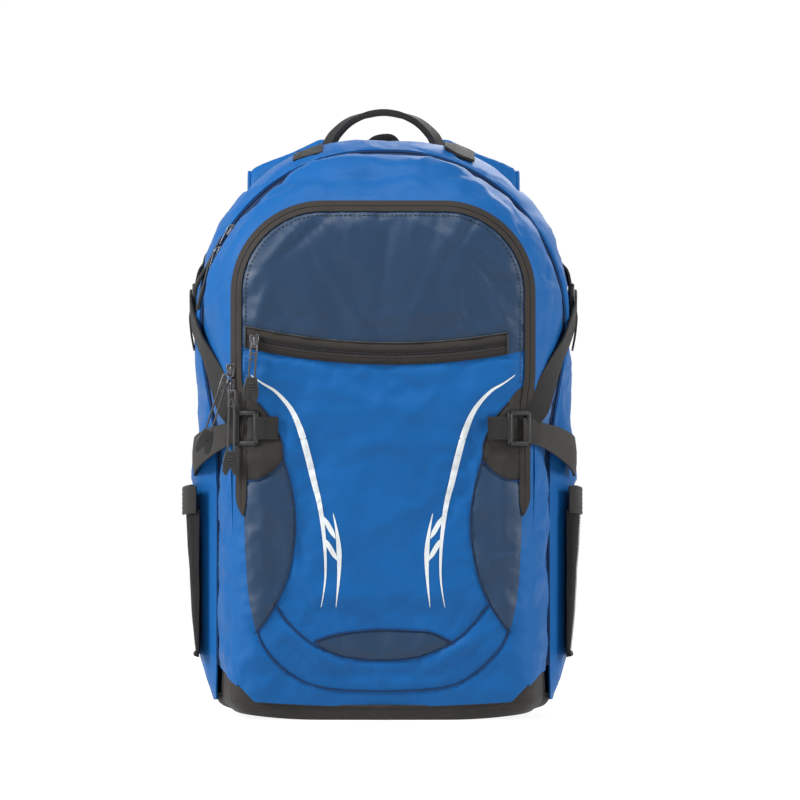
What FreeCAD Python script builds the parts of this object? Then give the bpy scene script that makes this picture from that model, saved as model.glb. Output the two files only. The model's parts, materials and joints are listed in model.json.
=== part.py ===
"""A 25-30 litre hiking daypack as an assembly of separate pieces.

Frame: millimetres, +Z up, the front panel faces -Y, the wearer's back is at +Y.
Origin: the middle of the flat base, on the surface that the pack stands on.
"""
import FreeCAD
import Part
import Sketcher
import math
import os

from FreeCAD import Placement, Rotation, Vector

doc = FreeCAD.newDocument("daypack")

# ---------------------------------------------------------------- driving dimensions
SIZES = {
    # planes along the depth
    "back_y": 86.0,           # inner face of the back panel
    "bulge_y": 20.0,          # where the sides are widest
    "zip_y": -30.0,           # plane of the main zip
    "front_y": -95.0,         # plane of the arch zip
    "pillow_y": -111.0,       # foremost face of the front panel
    # heights
    "base_height": 46.0,      # top of the base tub at the corners
    "fold_z": 215.0,          # where the opened front folds down
    "flap_z": 275.0,          # where the opened arch flap folds down
    "crown_z": 501.0,         # top of the back outline
    "crown_split": 330.0,     # seam between the side gussets and the crown
    # walls and gaps
    "wall": 4.0,              # padded gusset wall
    "panel_wall": 5.0,        # front panel
    "fold_gap": 1.2,          # clear space each side of a fold
    "clear": 0.6,             # clear space between parts that move apart
    "back_thick": 8.0,
    "pad_thick": 9.0,
    "sheet_thick": 2.0,
    "base_wall": 3.0,
    "tape_wide": 8.0,         # each half of the main zip tape
    "arch_half": 132.0,       # half width to the outer edge of the arch zip
    "arch_top": 452.0,
    "arch_corner": 80.0,
    "coil_half": 128.0,       # half width to the arch zip's coil
    "panel_half": 124.0,      # half width of the flap inside the arch zip
    "pocket_zip_z": 319.0,    # middle of the horizontal pocket zip
    "pocket_zip_tall": 18.0,
    "pocket_zip_radius": 570.0,
    "webbing_thick": 2.4,
    "strap_wide": 72.0,
    "strap_thick": 11.0,
    "handle_wide": 20.0,
    "slider_long": 12.0,
    "slider_wide": 8.0,
    "slider_thick": 3.6,
    "link_wide": 7.0,
    "link_long": 15.0,
    "link_thick": 1.2,
    "cord_diameter": 1.8,
    "cord_gap": 4.4,          # between the two legs of a pull's cord, centre to centre
    "grip_wide": 14.0,
    "grip_long": 21.0,
    "grip_thick": 3.6,
    "ring_wide": 22.0,
    "ring_tall": 31.0,
    "ring_bar": 4.0,
    "ring_thick": 4.0,
    "lock_wide": 33.0,        # ladder-lock along the webbing's width
    "lock_tall": 32.0,
    "lock_thick": 5.0,
}

sheet = doc.addObject("Spreadsheet::Sheet", "sizes")
for row, (name, value) in enumerate(SIZES.items(), start=1):
    sheet.set("A%d" % row, name)
    sheet.set("B%d" % row, str(value))
    sheet.setAlias("B%d" % row, name)
doc.recompute()


def size(name):
    """A driving dimension, read from the spreadsheet."""
    return float(sheet.get(name))


PARTS = []  # every finished sub-part, in the order it is made


def finish(obj, label, placement=None):
    obj.Label = label
    obj.Placement = placement or Placement()
    PARTS.append(obj)
    return obj


def feature(label, shape, placement=None):
    """A sub-part whose lofted or swept shape is made with Part's own functions."""
    obj = doc.addObject("Part::Feature", label)
    obj.Shape = shape
    return finish(obj, label, placement)


# ---------------------------------------------------------------- shared shapes
def box_between(low, high):
    corner = Vector(*low)
    return Part.makeBox(high[0] - low[0], high[1] - low[1], high[2] - low[2], corner)


def above(z):
    return box_between((-400, -400, z), (400, 400, 900))


def below(z):
    return box_between((-400, -400, -100), (400, 400, z))


def between_heights(low, high):
    return box_between((-400, -400, low), (400, 400, high))


def arch_wire(y, half_low, z_low, half_knee, z_knee, half_top, z_top, corner):
    """An arch in the plane at y: flat foot, two legs with a knee, rounded shoulders, flat top."""
    z_mid = z_top - corner
    x_mid = half_top - corner
    turn = corner * math.sqrt(0.5)

    def p(x, z):
        return Vector(x, y, z)

    right_arc = Part.Arc(p(half_top, z_mid), p(x_mid + turn, z_mid + turn), p(x_mid, z_top))
    left_arc = Part.Arc(p(-x_mid, z_top), p(-x_mid - turn, z_mid + turn), p(-half_top, z_mid))
    edges = [
        Part.makeLine(p(-half_low, z_low), p(half_low, z_low)),
        Part.makeLine(p(half_low, z_low), p(half_knee, z_knee)),
        Part.makeLine(p(half_knee, z_knee), p(half_top, z_mid)),
        right_arc.toShape(),
        Part.makeLine(p(x_mid, z_top), p(-x_mid, z_top)),
        left_arc.toShape(),
        Part.makeLine(p(-half_top, z_mid), p(-half_knee, z_knee)),
        Part.makeLine(p(-half_knee, z_knee), p(-half_low, z_low)),
    ]
    return Part.Wire(edges)


def loft(wires):
    return Part.makeLoft(wires, True, True)


def arch_solid(sections, inset=0.0, foot=0.0):
    """Straight-sided loft through arches, each moved in by inset and up by foot."""
    wires = []
    for y, half_low, z_low, half_knee, z_knee, half_top, z_top, corner in sections:
        wires.append(arch_wire(y, half_low - inset, z_low + foot, half_knee - inset, z_knee,
                               half_top - inset, z_top - inset, corner - inset))
    return loft(wires)


def blend_section(a, b, y):
    """The section at y on the straight line between two sections."""
    share = (y - a[0]) / (b[0] - a[0])
    return tuple(p + (q - p) * share for p, q in zip(a, b))


# outlines of the bag at each plane: y, foot half, foot z, knee half, knee z, top half, top z, corner
BACK = (size("back_y"), 150.0, 4.0, 157.0, size("fold_z"), 155.0, size("crown_z"), 135.0)
BULGE = (size("bulge_y"), 159.0, 4.0, 162.0, size("fold_z"), 158.0, 499.0, 140.0)
ZIP = (size("zip_y"), 140.0, 4.0, 139.0, size("fold_z"), 157.0, 493.0, 150.0)
FRONT = (size("front_y"), 126.0, 16.0, 132.0, size("fold_z"), size("arch_half"),
         size("arch_top"), size("arch_corner"))


# ---------------------------------------------------------------- main compartment
def make_side_and_crown_gussets():
    wall = size("wall")
    start = size("zip_y") + size("tape_wide")
    front = blend_section(ZIP, BULGE, start)
    past_front = blend_section(ZIP, BULGE, start - 1)
    past_back = blend_section(BULGE, BACK, size("back_y") + 1)
    outer = arch_solid([front, BULGE, BACK])
    inner = arch_solid([past_front, BULGE, past_back], inset=wall, foot=-20)
    hoop = outer.cut(inner).common(above(size("base_height")))
    split = size("crown_split")
    feature("crown_gusset", hoop.common(above(split)))
    left = box_between((-400, -400, 0), (0, 400, split))
    right = box_between((0, -400, 0), (400, 400, split))
    feature("side_gusset_left", hoop.common(left))
    feature("side_gusset_right", hoop.common(right))


def make_main_zip():
    """Two half tapes, one on the body and one on the front that folds down."""
    wall = size("wall")
    gap = size("clear") / 2
    y_mid = size("zip_y")
    wide = size("tape_wide")
    back_end = blend_section(ZIP, BULGE, y_mid + wide)
    zip_back = blend_section(ZIP, BULGE, y_mid + gap)
    far = blend_section(ZIP, BULGE, y_mid + wide + 1)
    outer = arch_solid([zip_back, back_end])
    inner = arch_solid([ZIP, far], inset=wall, foot=-20)
    feature("main_zip_body_side", outer.cut(inner).common(above(size("base_height"))))
    front_end = blend_section(ZIP, FRONT, y_mid - wide)
    zip_front = blend_section(ZIP, FRONT, y_mid - gap)
    far = blend_section(ZIP, FRONT, y_mid - wide - 1)
    outer = arch_solid([zip_front, front_end])
    inner = arch_solid([ZIP, far], inset=wall, foot=-20)
    feature("main_zip_lid_side",
            outer.cut(inner).common(above(size("fold_z") + size("fold_gap"))))


def plan_wire(z, scale_x, scale_y):
    """The plan of the base at height z."""
    points = [(150, 84), (159, 20), (141, -30), (127, -88), (70, -98), (0, -102)]
    points = [(x * scale_x, y * scale_y) for x, y in points]
    mirrored = [(-x, y) for x, y in reversed(points[:-1])]
    loop = [Vector(x, y, z) for x, y in points + mirrored]
    return Part.makePolygon(loop + [loop[0]])


def base_zone():
    """Everything under the base's top edge: low across the front, rising at the corners."""
    corner = size("base_height")
    edge = [(300, -50), (300, corner), (142, corner), (112, 16), (60, 12), (-60, 12), (-112, 16),
            (-142, corner), (-300, corner), (-300, -50)]
    loop = [Vector(x, -200, z) for x, z in edge]
    return Part.Face(Part.makePolygon(loop + [loop[0]])).extrude(Vector(0, 400, 0))


def make_base_panel():
    """A shallow tub: flat floor, raised corners, low front edge."""
    tall = size("base_height")
    wall = size("base_wall")
    outer = loft([plan_wire(0, 0.93, 0.92), plan_wire(tall, 1.0, 1.0)])
    inner = loft([plan_wire(wall, 0.91, 0.89), plan_wire(tall + 0.01, 0.979, 0.968)])
    back_cut = box_between((-200, 60, 13), (200, 200, 200))
    feature("base_panel", outer.cut(inner).common(base_zone()).cut(back_cut))


def sketch_plane(body, role):
    return [f for f in body.Origin.OriginFeatures if f.Role == role][0]


def padded_outline(label, points, length_name, placement):
    """A PartDesign body: a closed outline in its XZ plane, padded by a sheet dimension."""
    body = doc.addObject("PartDesign::Body", label)
    sketch = body.newObject("Sketcher::SketchObject", label + "_outline")
    sketch.AttachmentSupport = [(sketch_plane(body, "XZ_Plane"), "")]
    sketch.MapMode = "FlatFace"
    loop = [Vector(x, z, 0) for x, z in points]
    for start, end in zip(loop, loop[1:] + loop[:1]):
        sketch.addGeometry(Part.LineSegment(start, end), False)
    count = len(loop)
    for i in range(count):
        sketch.addConstraint(Sketcher.Constraint("Coincident", i, 2, (i + 1) % count, 1))
    pad = body.newObject("PartDesign::Pad", label + "_pad")
    pad.Profile = sketch
    pad.setExpression("Length", "sizes." + length_name)
    doc.recompute()
    return finish(body, label, placement)


def arch_points(half_low, z_low, half_top, z_top, corner, steps=6):
    """An arch outline as points, for a flat panel."""
    x_mid = half_top - corner
    z_mid = z_top - corner
    right = []
    for k in range(steps + 1):
        angle = math.pi / 2 * k / steps
        right.append((x_mid + corner * math.cos(angle), z_mid + corner * math.sin(angle)))
    left = [(-x, z) for x, z in reversed(right)]
    return [(-half_low, z_low), (half_low, z_low)] + right + left


def make_back():
    """Foam back panel, its stiffening sheet, the two pads on it and the sleeve inside."""
    back_y = size("back_y")
    # a pad of an XZ sketch grows towards -Y, so each body is placed at its rear face
    padded_outline("back_panel", arch_points(148, 5, 154, 499, 134), "back_thick",
                   Placement(Vector(0, back_y + size("back_thick"), 0), Rotation()))
    padded_outline("frame_sheet", arch_points(118, 30, 118, 455, 70), "sheet_thick",
                   Placement(Vector(0, back_y - 0.5, 0), Rotation()))
    sleeve = doc.addObject("Part::Box", "inner_sleeve")
    sleeve.Length = 236
    sleeve.Height = 260
    sleeve.setExpression("Width", "sizes.sheet_thick")
    finish(sleeve, "inner_sleeve", Placement(Vector(-118, back_y - 22, 24), Rotation()))
    pads = []
    for side in (-1, 1):
        outline = [(18, 40), (62, 30), (108, 44), (116, 120), (108, 300), (92, 430), (30, 438),
                   (18, 420)]
        loop = [Vector(side * x, back_y + size("back_thick") + 0.01, z) for x, z in outline]
        face = Part.Face(Part.makePolygon(loop + [loop[0]]))
        pads.append(face.extrude(Vector(0, size("pad_thick"), 0)))
    feature("back_pads", Part.Compound(pads))


# ---------------------------------------------------------------- front compartment
def front_hoop(inset, foot, first, last):
    """Solid bounded by the outline between the main zip and the arch zip."""
    return arch_solid([blend_section(ZIP, FRONT, first), blend_section(ZIP, FRONT, last)],
                      inset, foot)


def make_front_gussets():
    wall = size("wall")
    gap = size("fold_gap")
    high = above(size("fold_z") + gap)
    low = below(size("fold_z") - gap)
    for name, start, part_of_it in (("upper", size("zip_y") - size("tape_wide"), high),
                                    ("lower", size("zip_y") - size("clear"), low)):
        outer = front_hoop(0, 10, start, size("front_y"))
        inner = front_hoop(wall, 10 + wall, start + 1, size("front_y") - 1)
        hoop = outer.cut(inner).common(part_of_it)
        feature("front_gusset_" + name, hoop.cut(base_zone()))


def make_dividers():
    """The wall between the main and the front compartment, in two pieces that meet at the fold."""
    wall = size("wall") + 0.5
    gap = size("fold_gap")
    y_back = size("zip_y") - 1
    panel = front_hoop(wall, 20, y_back, y_back - size("sheet_thick"))
    feature("divider_upper", panel.common(above(size("fold_z") + gap)))
    feature("divider_lower", panel.common(below(size("fold_z") - gap)).cut(base_zone()))


def pillow(inset, back_shift=0.0):
    """The bulging front panel as a solid: an arch that shrinks towards its foremost face."""
    y0 = size("front_y") - 0.4 + back_shift
    y1 = size("pillow_y") + back_shift
    half = size("arch_half")
    edge = (y0, 126 - inset, 18.0 + inset, half - inset, size("fold_z"), half - inset,
            size("arch_top") - inset, size("arch_corner") - inset)
    mid = (y0 + (y1 - y0) * 0.9, 104.0 - inset, 42.0 + inset, 112.0 - inset, size("fold_z"),
           110.0 - inset, 428.0 - inset, 60.0)
    face = (y1, 70.0 - inset, 80.0 + inset, 78.0 - inset, size("fold_z"), 76.0 - inset,
            392.0 - inset, 40.0)
    return arch_solid([edge, mid, face])


def flap_outline(half, z_top, corner, low, high):
    """A prism along Y with the arch zip's outline."""
    wire = arch_wire(-200, half, low, half, low + 10, half, z_top, corner)
    return Part.Face(wire).extrude(Vector(0, high, 0))


def pocket_zip_band(tall):
    """Prisms along Y with a shallow arc's centre above them: the band, all above, all below."""
    radius = size("pocket_zip_radius")
    centre = Vector(0, -200, size("pocket_zip_z") + radius)
    outer = Part.makeCylinder(radius + tall / 2, 180, centre, Vector(0, 1, 0))
    inner = Part.makeCylinder(radius - tall / 2, 180, centre, Vector(0, 1, 0))
    under = box_between((-400, -200, 0), (400, -20, 400)).cut(outer)
    return outer.cut(inner).common(below(400)), inner, under


def make_front_panels():
    gap = size("fold_gap")
    thick = size("panel_wall")
    skin = pillow(0).cut(pillow(3.0, back_shift=thick))
    low = skin.common(below(size("fold_z") - gap))
    feature("front_panel_lower", low.cut(base_zone()))
    middle = between_heights(size("fold_z") + gap, size("flap_z") - gap)
    feature("front_panel_middle", skin.common(middle))
    above_fold = skin.common(above(size("flap_z") + gap))
    flap_prism = flap_outline(size("panel_half"), 444.0, 72.0, 100.0, 180.0)
    coil_in = flap_outline(size("coil_half") - size("clear") / 2, 447.7, 75.7, 100.0, 180.0)
    coil_out = flap_outline(size("coil_half") + size("clear") / 2, 448.3, 76.3, 100.0, 180.0)
    feature("arch_zip_lid_side", above_fold.cut(coil_out))
    feature("arch_zip_flap_side", above_fold.common(coil_in).cut(flap_prism))
    flap = above_fold.common(flap_prism)
    band, over, under = pocket_zip_band(size("pocket_zip_tall"))
    feature("pocket_zip", flap.common(band))
    feature("flap_panel_upper", flap.common(over))
    feature("flap_panel_lower", flap.common(under))
    lining = doc.addObject("Part::Box", "pocket_lining")
    lining.Length = 176
    lining.Height = 88
    lining.setExpression("Width", "sizes.sheet_thick")
    finish(lining, "pocket_lining", Placement(Vector(-88, -100.9, 285), Rotation()))


# ---------------------------------------------------------------- side pockets
def pocket_plan(points, side, z, flare):
    """The pocket's plan at height z; the part that stands off the bag moves out by flare."""
    loop = []
    for x, y in points:
        loop.append(Vector(side * (x + (flare if x > 165 else -1.5)), y, z))
    return Part.makePolygon(loop + [loop[0]])


def make_side_pockets():
    """Mesh pockets on the sides, open at the top, with elastic bindings."""
    outer = [(164.1, -18), (168, -24), (176, -4), (177, 40), (170, 78), (162.0, 80)]
    inner = [(162.0, -10), (168, -20), (174.2, -3), (175.2, 39), (168.6, 76), (160, 70)]
    floor, rim, top = 56, 182, 204
    bag = arch_solid([ZIP, BULGE, BACK], inset=-0.4)
    bindings = []
    for side, name in ((-1, "left"), (1, "right")):
        around = loft([pocket_plan(outer, side, floor, 0.0), pocket_plan(outer, side, rim, 1.0)])
        inside = loft([pocket_plan(inner, side, floor + 2, -1.0),
                       pocket_plan(inner, side, rim + 0.01, 1.0)])
        feature("mesh_pocket_" + name, around.cut(inside).cut(bag))
        up = Vector(0, 0, top - rim)
        around = Part.Face(pocket_plan(outer, side, rim + 0.02, 1.0)).extrude(up)
        inside = Part.Face(pocket_plan(inner, side, rim, 1.0)).extrude(up * 1.05)
        bindings.append(around.cut(inside).cut(bag))
    feature("pocket_bindings", Part.Compound(bindings))


# ---------------------------------------------------------------- webbing and straps
def ribbon(points, wide, thick, across):
    """A strip of webbing: a centre line of points, thickened both ways and as wide as given.

    The line lies in the plane normal to across; the strip spreads along across.
    """
    across = Vector(*across).normalize()
    points = [Vector(*p) for p in points]
    left = []
    right = []
    for i, point in enumerate(points):
        before = points[max(i - 1, 0)]
        after = points[min(i + 1, len(points) - 1)]
        if 0 < i < len(points) - 1:
            a = (point - before).normalize()
            b = (after - point).normalize()
            along = (a + b).normalize()
            stretch = 1 / max(along.dot(a), 0.5)
        else:
            along = (after - before).normalize()
            stretch = 1.0
        normal = along.cross(across)
        left.append(point + normal * (thick / 2 * stretch))
        right.append(point - normal * (thick / 2 * stretch))
    loop = left + right[::-1]
    start = [v - across * (wide / 2) for v in loop]
    face = Part.Face(Part.makePolygon(start + [start[0]]))
    return face.extrude(across * wide)


def arc_points(centre, radius, first, last, steps, place):
    """Points on an arc, as place(u, v) of the two in-plane coordinates."""
    found = []
    for k in range(steps + 1):
        angle = math.radians(first + (last - first) * k / steps)
        found.append(place(centre[0] + radius * math.cos(angle),
                           centre[1] + radius * math.sin(angle)))
    return found


def make_top_handle():
    """Webbing grab handle: an arch whose feet stand on the crown in front of the back seam."""
    def place(x, z):
        return (x, 68, z)
    half = 58.0
    left = [place(-half, 498.4), place(-47, 508.5)]
    right = [place(47, 508.5), place(half, 498.4)]
    arc = arc_points((0, 415.8), 120.0, 110, 70, 8, place)
    feature("top_handle", ribbon(left + arc + right, size("handle_wide"), 5.0, (0, 1, 0)))


def make_hang_loop():
    def place(x, z):
        return (x, 99, z)
    arc = arc_points((0, 499), 13.0, 180, 0, 10, place)
    legs = [place(-13, 480)] + arc + [place(13, 480)]
    feature("hang_loop", ribbon(legs, 9.0, size("webbing_thick"), (0, 1, 0)))


def make_shoulder_straps():
    """Padded straps that rise over the top edge and hang behind the back."""
    centre_x = 85.0
    lower = []
    for side, name in ((-1, "left"), (1, "right")):
        profile = [(side * centre_x, y, z) for y, z in
                   ((106, 476), (108, 494), (117, 502), (127, 492), (132, 460), (134, 380),
                    (130, 290), (124, 215))]
        feature("shoulder_strap_" + name,
                ribbon(profile, size("strap_wide"), size("strap_thick"), (1, 0, 0)))
        lock = Part.makeBox(34, 5, 30, Vector(side * centre_x - 17, 120, 180))
        slot = Part.makeBox(26, 7, 5, Vector(side * centre_x - 13, 119, 185))
        slot_high = Part.makeBox(26, 7, 5, Vector(side * centre_x - 13, 119, 198))
        feature("shoulder_ladder_lock_" + name, lock.cut(slot).cut(slot_high))
        run = [(side * centre_x, y, z) for y, z in
               ((117, 176), (113, 120), (109.5, 70), (106.5, 40), (104.8, 25), (96, 17), (95.4, 9))]
        lower.append(ribbon(run, 25, size("webbing_thick"), (1, 0, 0)))
    feature("shoulder_webbing", Part.Compound(lower))


def strip_through(rows, thick):
    """A strip whose two long edges are given at each station, thickened along its own normal."""
    rows = [(Vector(*low), Vector(*high)) for low, high in rows]
    stations = []
    for i, (low, high) in enumerate(rows):
        before = rows[max(i - 1, 0)]
        after = rows[min(i + 1, len(rows) - 1)]
        along = (after[0] + after[1]) - (before[0] + before[1])
        normal = (high - low).cross(along).normalize() * thick
        stations.append(Part.makePolygon([low, high, high + normal, low + normal, low]))
    return loft(stations)


def make_compression_straps():
    """On each side a strap runs through a ring: a webbing arm up and a fabric wing down."""
    thick = size("webbing_thick")
    locks = []
    rings = []
    tabs = []
    for side, name in ((-1, "left"), (1, "right")):
        # stations from the ring round the corner to the side: low edge, high edge
        arm = [((129.5, -99.4, 260), (124.0, -102.2, 276)),
               ((133.8, -97.0, 264), (132.6, -98.2, 279)),
               ((138.8, -85.5, 272), (138.0, -86.5, 292)),
               ((165.0, -29, 322), (163.5, -29, 345)),
               ((166.0, 8, 342), (165.0, 8, 366))]
        wing = [((129.5, -99.4, 238), (129.5, -99.4, 259)),
                ((133.8, -97.0, 237), (133.8, -97.0, 259)),
                ((138.2, -84.5, 235), (138.2, -84.5, 258)),
                ((165.5, -29, 222), (165.5, -29, 250)),
                ((165.5, -25, 220), (165.5, -25, 248))]
        for label, rows in (("compression_arm_", arm), ("compression_wing_", wing)):
            pairs = []
            for low, high in rows:
                pairs.append(((side * low[0], low[1], low[2]), (side * high[0], high[1], high[2])))
            strip = strip_through(pairs, thick if side < 0 else -thick)
            feature(label + name, strip)
        wide = size("ring_wide")
        bar = size("ring_bar")
        tall = size("ring_tall")
        centre = Vector(side * 118.5, -109.5, 254.5)
        corner = centre - Vector(wide / 2, size("ring_thick") / 2, tall / 2)
        frame = Part.makeBox(wide, size("ring_thick"), tall, corner)
        hole = Part.makeBox(wide - 2 * bar, 20, tall - 2 * bar,
                            corner + Vector(bar, -5, bar))
        ring = frame.cut(hole)
        ring.rotate(centre, Vector(0, 0, 1), side * 22)
        rings.append(ring)
        tab = ribbon([(side * 84, -112.7, 254.5), (side * 94, -112.6, 254.5),
                      (side * 104.5, -113.4, 254.5)], 20, thick, (0, 0, 1))
        tabs.append(tab)
        lock = Part.makeBox(size("lock_thick"), size("lock_wide"), size("lock_tall"),
                            Vector(0, 0, 0))
        for start in (6.0, 20.0):
            lock = lock.cut(Part.makeBox(20, size("lock_wide") - 8, 6, Vector(-5, 4, start)))
        x = 158.5 if side > 0 else -158.5 - size("lock_thick")
        lock.translate(Vector(x, 12, 350))
        locks.append(lock)
    feature("compression_rings", Part.Compound(rings))
    feature("ring_tabs", Part.Compound(tabs))
    feature("compression_ladder_locks", Part.Compound(locks))


# ---------------------------------------------------------------- zip sliders and pulls
def make_pull(name, hang_from, lean, leg, turn_to_side):
    """The metal link, the cord loop and the moulded grip that hang from one slider.

    hang_from is the point on the slider; lean tilts the pull about Y; a pull on the side of the
    bag is turned so that its flat side faces outwards.
    """
    where = Placement(Vector(*hang_from), Rotation(Vector(0, 1, 0), lean))
    if turn_to_side:
        where = where.multiply(Placement(Vector(), Rotation(Vector(0, 0, 1), turn_to_side)))
    wide = size("link_wide")
    long = size("link_long")
    plate = doc.addObject("Part::Box", name + "_link_plate")
    plate.setExpression("Length", "sizes.link_wide")
    plate.setExpression("Width", "sizes.link_thick")
    plate.setExpression("Height", "sizes.link_long")
    plate.Placement = Placement(Vector(-wide / 2, -0.6, -long), Rotation())
    window = doc.addObject("Part::Box", name + "_link_window")
    window.setExpression("Length", "sizes.link_wide - 2.4")
    window.Width = 6
    window.setExpression("Height", "sizes.link_long - 4")
    window.Placement = Placement(Vector(-wide / 2 + 1.2, -3, -long + 1.6), Rotation())
    link = doc.addObject("Part::Cut", name + "_link")
    link.Base = plate
    link.Tool = window
    doc.recompute()
    finish(link, name + "_link", where)
    # cord: two legs joined by a half circle, in front of the link
    diameter = size("cord_diameter")
    half = size("cord_gap") / 2
    y = -0.6 - diameter / 2 - 0.3
    top = -long + 4.5
    bottom = top - leg
    path = Part.Wire([
        Part.LineSegment(Vector(-half, y, bottom), Vector(-half, y, top)).toShape(),
        Part.Arc(Vector(-half, y, top), Vector(0, y, top + half), Vector(half, y, top)).toShape(),
        Part.LineSegment(Vector(half, y, top), Vector(half, y, bottom)).toShape(),
    ])
    start = Part.Wire(Part.makeCircle(diameter / 2, Vector(-half, y, bottom), Vector(0, 0, 1)))
    tube = path.makePipeShell([start], True, False)
    feature(name + "_cord", tube, where)
    length = 2 * leg + math.pi * half
    section = math.pi * diameter ** 2 / 4
    print("%s_cord: fold radius %.2f, length %.1f, volume %.1f of %.1f"
          % (name, half, length, tube.Volume, section * length))
    # grip: a chevron with a slit, its top face under the ends of the cord
    g = size("grip_wide") / 2
    tall = size("grip_long")
    outline = [(-4.5, 0), (4.5, 0), (g, -tall + 5), (g - 2.5, -tall), (0, -tall + 7),
               (-g + 2.5, -tall), (-g, -tall + 5)]
    grip_at = Placement(Vector(0, y + size("grip_thick") / 2, bottom), Rotation())
    padded_outline(name + "_grip", outline, "grip_thick", where.multiply(grip_at))


def make_slider(name, centre, spin, normal_side):
    """A slider body: a plate with a raised bail, tangent to the tape that it runs on."""
    long = size("slider_long")
    wide = size("slider_wide")
    thick = size("slider_thick")
    plate = doc.addObject("Part::Box", name + "_plate")
    plate.setExpression("Length", "sizes.slider_wide")
    plate.setExpression("Width", "sizes.slider_thick")
    plate.setExpression("Height", "sizes.slider_long")
    plate.Placement = Placement(Vector(-wide / 2, -thick, -long / 2), Rotation())
    rounded = doc.addObject("Part::Fillet", name)
    rounded.Base = plate
    doc.recompute()
    upright = []
    for i, edge in enumerate(plate.Shape.Edges, start=1):
        a, b = [v.Point for v in edge.Vertexes]
        if abs((a - b).y) > 1:
            upright.append((i, 2.0, 2.0))
    rounded.Edges = upright
    doc.recompute()
    turn = Rotation(Vector(0, 1, 0), spin).multiply(Rotation(Vector(0, 0, 1), normal_side))
    finish(rounded, name, Placement(Vector(*centre), turn))


def make_zips_pulls():
    # main zip: two sliders meet on the upper left of the arch, their flat sides face outwards;
    # the upper one's pull hangs clear outside the lower slider
    radius = 150.0 + 1.0
    for name, angle, lean, leg, aside in (("main_upper", 146.0, 27.0, 30.0, 6.0),
                                          ("main_lower", 154.5, 14.0, 22.0, -6.0)):
        a = math.radians(angle)
        # the arch's left shoulder is an arc of radius 150 about (-7, 343)
        x = -7.0 + radius * math.cos(a)
        z = 343.0 + radius * math.sin(a)
        y = size("zip_y")
        # spin turns the slider's long side along the tape; its plate grows outwards
        make_slider(name + "_slider", (x, y, z), 90 - angle + 90, -90)
        out = size("slider_thick") + 1.4
        hang = (x + out * math.cos(a) - 1.2, y + aside, z + out * math.sin(a) - 1.0)
        make_pull(name, hang, lean, leg, -90)
    # pocket zip: one slider at the left end
    radius = size("pocket_zip_radius")
    x = -112.0
    z = size("pocket_zip_z") + radius - math.sqrt(radius ** 2 - x ** 2)
    make_slider("pocket_slider", (x, -111.2, z), 0, 0)
    make_pull("pocket", (x, -116.2, z - 2), 4.0, 20.0, 0)
    # arch zip: two sliders one above the other on the straight left leg
    for name, x, z, lean, leg, depth in (("arch_upper", -136.0, 304.5, 18.0, 42.0, 0.0),
                                         ("arch_lower", -131.5, 291.0, 1.0, 44.0, -5.4)):
        make_slider(name + "_slider", (-132.6, -97.8, z), 0, 0)
        make_pull(name, (x, -103.5 + depth, z - 3), lean, leg, 0)


# ---------------------------------------------------------------- build, check and write
def build():
    make_side_and_crown_gussets()
    make_main_zip()
    make_base_panel()
    make_back()
    make_front_gussets()
    make_dividers()
    make_front_panels()
    make_side_pockets()
    make_top_handle()
    make_hang_loop()
    make_shoulder_straps()
    make_compression_straps()
    make_zips_pulls()
    doc.recompute()


def check_and_write():
    for obj in doc.Objects:
        if "Invalid" in obj.State or "Error" in obj.State:
            raise RuntimeError("%s did not build: %s" % (obj.Label, obj.State))
    for obj in PARTS:
        shape = obj.Shape
        if shape.isNull() or not shape.isValid() or shape.Volume <= 0:
            raise RuntimeError("%s has no valid solid" % obj.Label)
    os.makedirs("parts", exist_ok=True)
    for obj in PARTS:
        obj.Shape.exportStep("parts/%s.step" % obj.Label)
        box = obj.Shape.BoundBox
        print("%-28s solids %d  x %7.1f %7.1f  y %7.1f %7.1f  z %7.1f %7.1f"
              % (obj.Label, len(obj.Shape.Solids), box.XMin, box.XMax, box.YMin, box.YMax,
                 box.ZMin, box.ZMax))
    print(len(PARTS), "sub-parts")


build()
check_and_write()
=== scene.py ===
"""Looks of the daypack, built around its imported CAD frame.

Row frame, +Z up, the front panel faces -Y. Shapes are worked out in millimetres and
written to meshes in metres.
"""
import json
import math

import bpy
import bmesh
from mathutils import Matrix, Vector, geometry, noise
from mathutils.bvhtree import BVHTree


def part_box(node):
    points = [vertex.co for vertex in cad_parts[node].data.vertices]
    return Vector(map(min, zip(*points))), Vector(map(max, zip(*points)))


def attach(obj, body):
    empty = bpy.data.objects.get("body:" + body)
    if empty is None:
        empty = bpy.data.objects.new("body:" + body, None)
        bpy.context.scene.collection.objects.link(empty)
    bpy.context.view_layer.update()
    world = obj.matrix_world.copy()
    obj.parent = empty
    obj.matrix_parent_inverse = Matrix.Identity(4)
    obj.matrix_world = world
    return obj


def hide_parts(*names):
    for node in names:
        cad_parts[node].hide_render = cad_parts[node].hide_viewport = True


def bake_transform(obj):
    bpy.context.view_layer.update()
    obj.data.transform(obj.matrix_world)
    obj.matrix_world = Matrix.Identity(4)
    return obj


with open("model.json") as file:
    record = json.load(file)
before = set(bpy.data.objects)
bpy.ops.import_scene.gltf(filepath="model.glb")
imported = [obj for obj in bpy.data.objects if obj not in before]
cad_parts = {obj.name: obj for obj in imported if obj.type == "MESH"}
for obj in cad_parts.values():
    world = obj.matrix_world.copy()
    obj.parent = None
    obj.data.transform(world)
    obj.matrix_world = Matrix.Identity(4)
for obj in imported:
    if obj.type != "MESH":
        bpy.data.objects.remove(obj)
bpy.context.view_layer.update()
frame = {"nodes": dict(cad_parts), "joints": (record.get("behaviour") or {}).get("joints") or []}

MM = 0.001
JOINTS = {j["name"]: j for j in frame["joints"]}
FOLD_Z = JOINTS["front_fold"]["pos_m"][2] / MM        # the opened front folds here
FLAP_Z = JOINTS["arch_flap_fold"]["pos_m"][2] / MM    # the opened arch flap folds here
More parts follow.
